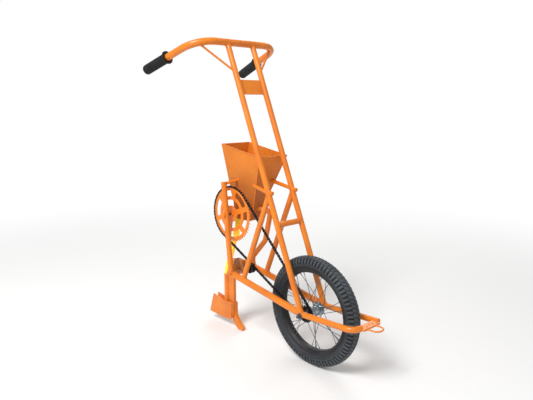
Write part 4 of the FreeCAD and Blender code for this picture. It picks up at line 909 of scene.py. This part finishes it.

# ---- Hub, sprocket and axle nuts -----------------------------------------------------------
# A turned aluminium hub on a fixed spindle. The small sprocket screws on to its right end and
# is held by a lock ring. Plated nuts and washers clamp the spindle to the rails.
alloy = finish("hub_alloy", (0.440, 0.520, 0.580), (0.250, 0.300, 0.340), (0.720, 0.760, 0.790), 0.22,
               patch_scale=45.0, wear=0.3, skin_scale=1200.0, skin_depth=0.00003, metallic=0.9, shine=0.5)
dark_steel = finish("dark_sprocket_steel", (0.040, 0.041, 0.046), (0.020, 0.020, 0.024),
                    (0.200, 0.200, 0.210), 0.36, patch_scale=45.0, wear=0.8, wear_width=0.0008,
                    skin_scale=900.0, skin_depth=0.00005, metallic=0.8, shine=0.5)
dress(["hub"], alloy)
dress(["wheel_sprocket"], dark_steel)
LOCK_RING_Y = 41.6
FREEWHEEL_Y = 38.3
WASHER_Y = 73.6
lock_profile = [(15.1, 0.0), (20.5, 0.0), (21.2, 0.7), (21.2, 2.0), (20.4, 2.8), (16.5, 2.8), (15.1, 2.2),
                (15.1, 0.0)]
ring_place = standing(axle - LEFT * LOCK_RING_Y * MM, -LEFT)
freewheel_profile = [(15.1, 0.0), (22.5, 0.0), (22.5, 3.6), (21.5, 4.4), (15.1, 4.4), (15.1, 0.0)]
freewheel_place = standing(axle - LEFT * FREEWHEEL_Y * MM, LEFT)
lock_ring = make_piece("sprocket_lock_ring", joined([
    turned(lock_profile, ring_place, 36), turned(freewheel_profile, freewheel_place, 36)]), dark_steel)
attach(lock_ring, "wheel")

washer_profile = [(5.1, 0.0), (11.0, 0.0), (11.3, 0.3), (11.0, 1.5), (10.6, 1.7), (5.1, 1.7), (5.1, 0.0)]
axle_washers = make_piece("axle_washers", joined([
    turned(washer_profile, standing(axle + LEFT * way * WASHER_Y * MM, LEFT * way), 36) for way in (-1, 1)
]), plated)
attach(axle_washers, "frame")

# ---- Seed funnel and hose ------------------------------------------------------------------
# A yellow moulded funnel under the feed housing and a soft yellow hose pushed over its spout.
# A ribbed moulded collar holds the hose there. It hangs in one easy curve and drops into the
# mouth of the steel seed tube. The plastic scatters light inside it, and a faint painted glow
# in its own colour keeps it from going dark in shade.
HOSE_RADIUS = 9.95
HOSE_WALL = 2.2
HOSE_ROUTE = [at(-434.5, 10.25, 428.0), at(-438.0, 8.0, 412.0), at(-445.0, 3.5, 380.0),
              at(-459.0, 0.0, 320.0), at(-487.0, 0.0, 268.0), at(-493.0, 0.0, 236.0),
              at(-493.0, 0.0, 210.0)]
COLLAR_RADIUS = 14.5
COLLAR_RIBS = 24
RIB_SHRINK = 0.93
# Strengths of the painted glow that keeps the funnel and the hose from going dark in shade.
FUNNEL_PAINTED_GLOW = 0.16
HOSE_PAINTED_GLOW = 0.30
SPOUT_MIDDLE = at(-437.45, 8.35, 414.5)

funnel_yellow = finish("funnel_plastic", (0.960, 0.730, 0.045), (0.930, 0.640, 0.035), (0.970, 0.820, 0.240),
                       0.38, patch_scale=25.0, wear=0.4, skin_scale=600.0, skin_depth=0.00006)
hose_yellow = finish("hose_plastic", (0.950, 0.760, 0.090), (0.900, 0.640, 0.050), (0.960, 0.850, 0.300),
                     0.34, patch_scale=30.0, wear=0.3, skin_scale=500.0, skin_depth=0.00008)
# Painted light: besides scattering light inside, each plastic gives out its own colour as a faint glow.
for soft, glow in ((funnel_yellow, FUNNEL_PAINTED_GLOW), (hose_yellow, HOSE_PAINTED_GLOW)):
    body = soft.node_tree.nodes["Principled BSDF"]
    body.inputs["Subsurface Weight"].default_value = 0.80
    body.inputs["Subsurface Scale"].default_value = 0.015
    soft.node_tree.links.new(body.inputs["Base Color"].links[0].from_socket, body.inputs["Emission Color"])
    body.inputs["Emission Strength"].default_value = glow
dress(["seed_funnel"], funnel_yellow)

route = bpy.data.curves.new("hose_route", "CURVE")
route.dimensions = "3D"
route.resolution_u = 12
route.bevel_depth = HOSE_RADIUS * MM
route.bevel_resolution = 8
spline = route.splines.new("NURBS")
spline.points.add(len(HOSE_ROUTE) - 1)
for point, place in zip(spline.points, HOSE_ROUTE):
    point.co = (*place, 1.0)
spline.order_u = 3
spline.use_endpoint_u = True
route_object = bpy.data.objects.new("hose_route", route)
scene.collection.objects.link(route_object)
bpy.context.view_layer.update()
worked_out = route_object.evaluated_get(bpy.context.evaluated_depsgraph_get())
hose_mesh = bpy.data.meshes.new_from_object(worked_out)
bpy.data.objects.remove(route_object)
hose = bmesh.new()
hose.from_mesh(hose_mesh)
bmesh.ops.remove_doubles(hose, verts=hose.verts, dist=WELD_DISTANCE)
bmesh.ops.recalc_face_normals(hose, faces=hose.faces)
bmesh.ops.solidify(hose, geom=hose.faces[:], thickness=HOSE_WALL * MM)
bmesh.ops.recalc_face_normals(hose, faces=hose.faces)
seed_hose = make_piece("seed_hose_tube", hose, hose_yellow)
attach(seed_hose, "frame")
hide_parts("seed_hose")

spout_line = (HOSE_ROUTE[0] - HOSE_ROUTE[2]).normalized()
ribbed_profile = [(10.0, -11.5), (13.2, -11.5), (COLLAR_RADIUS, -10.3), (COLLAR_RADIUS, 7.0), (13.4, 8.2),
                  (13.4, 10.6), (12.4, 11.5), (10.0, 11.5), (10.0, -11.5)]
collar_shape = turned(ribbed_profile, Matrix.Identity(4), COLLAR_RIBS * 4)
for vert in collar_shape.verts:
    turn = math.atan2(vert.co.y, vert.co.x) / math.tau * COLLAR_RIBS * 4
    if math.hypot(vert.co.x, vert.co.y) > (COLLAR_RADIUS - 0.2) * MM and round(turn) % 4 == 0:
        vert.co.x *= RIB_SHRINK
        vert.co.y *= RIB_SHRINK
collar_shape.transform(standing(SPOUT_MIDDLE, spout_line))
hose_collar = make_piece("hose_collar_ribbed", collar_shape, hose_yellow)
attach(hose_collar, "frame")
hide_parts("hose_collar")

# ---- Opener --------------------------------------------------------------------------------
# A square steel shank bolted between two cheek plates behind the crosspiece, with a flat web
# welded between it and the seed tube. Its forged tine opens the furrow, and two sheet sides
# form a boot round the tube's foot. Bolts hold the boot's sides to the tine's socket.
CHEEK_FACE = 13.0
BOOT_FACE = 14.25
SEAM_LINES = [(-478.5, 3.0, 116.0, 224.0), (-456.6, 3.0, 116.0, 258.0), (-439.6, 12.0, 54.0, 110.0)]
CLAMP_BOLTS = [(-449.0, 292.0), (-449.0, 271.0)]
BOOT_BOLTS = [(-449.0, 94.0), (-452.0, 56.0)]

opener_bolts = [hexagon_head(at(x, way * CHEEK_FACE, z), LEFT * way, 10.0, 4.5, 1.0)
                for way in (-1, 1) for x, z in CLAMP_BOLTS]
opener_bolts += [hexagon_head(at(x, way * BOOT_FACE, z), LEFT * way, 7.0, 3.0)
                 for way in (-1, 1) for x, z in BOOT_BOLTS]
bolts = make_piece("opener_bolts", joined(opener_bolts), enamel)
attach(bolts, "frame")

seams = [weld_run(at(x, way * y, low), at(x, way * y, high), THIN_BEAD)
         for x, y, low, high in SEAM_LINES for way in (-1, 1)]
opener_seams = make_piece("opener_seams", joined(seams), enamel)
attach(opener_seams, "frame")

# ---- Depth disc ----------------------------------------------------------------------------
# A thick turned steel disc and its spacer sleeve on the rear crosspiece, beside the opener.
# It was painted once and has worn brown: rust and old paint in speckles.
DISC_RADIUS = 33.5
DISC_BACK = -13.0
DISC_FRONT = 9.0
SLEEVE_END = 34.0

rusty = bpy.data.materials.new("worn_disc")
rusty.use_nodes = True
tree = rusty.node_tree
shader = tree.nodes["Principled BSDF"]
place = add(tree, "TexCoord").outputs["Object"]
rust = use(tree, patches, {"Place": place, "Scale": 70.0, "From": 0.40, "To": 0.60})
paint_left = use(tree, patches, {"Place": place, "Scale": 42.0, "From": 0.54, "To": 0.60})
grey = use(tree, patches, {"Place": place, "Scale": 110.0, "From": 0.56, "To": 0.66})
tone = mixed(tree, rust, (0.230, 0.085, 0.020), (0.400, 0.130, 0.020))
tone = mixed(tree, paint_left, tone, (0.560, 0.165, 0.022))
tone = mixed(tree, grey, tone, (0.260, 0.180, 0.140))
tree.links.new(tone, shader.inputs["Base Color"])
tree.links.new(math_node(tree, "MULTIPLY_ADD", rust, 0.2, 0.5), shader.inputs["Roughness"])
pitting = use(tree, relief, {"Place": place, "Scale": 600.0, "Detail": 6.0})
bump = add(tree, "Bump", {"Height": pitting, "Distance": 0.0004})
tree.links.new(bump.outputs[0], shader.inputs["Normal"])
disc_profile = [(11.1, 0.0), (32.6, 0.0), (DISC_RADIUS, 0.9), (DISC_RADIUS, 3.4), (31.9, 4.2), (31.9, 4.8),
                (DISC_RADIUS, 5.6), (DISC_RADIUS, 8.1), (32.6, DISC_FRONT), (27.5, DISC_FRONT), (26.6, 7.6),
                (19.0, 7.6), (18.0, DISC_FRONT), (13.0, DISC_FRONT), (12.8, SLEEVE_END), (11.1, SLEEVE_END),
                (11.1, 0.0)]
disc_shape = turned(disc_profile, standing(at(CROSSPIECE[0], DISC_BACK, CROSSPIECE[2]), -LEFT), 72)
disc = make_piece("depth_disc", disc_shape, rusty)
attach(disc, "frame")
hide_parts("adjuster_disc")

# ---- Hitch bolts ---------------------------------------------------------------------------
# The flattened front of the frame is clamped by two bolts beside the open hitch holes, their
# heads on top and nuts below. They were painted over with the frame.
HITCH_TOP = 220.5
HITCH_BOTTOM = 213.5
HITCH_BOLTS = [(239.0, -7.0), (242.0, 43.0)]

heads = [hexagon_head(at(x, y, HITCH_TOP), UP, 6.0, 2.2) for x, y in HITCH_BOLTS]
heads += [hexagon_head(at(x, y, HITCH_BOTTOM), -UP, 6.0, 3.0) for x, y in HITCH_BOLTS]
hitch_bolts = make_piece("hitch_bolts", joined(heads), enamel)
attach(hitch_bolts, "frame")
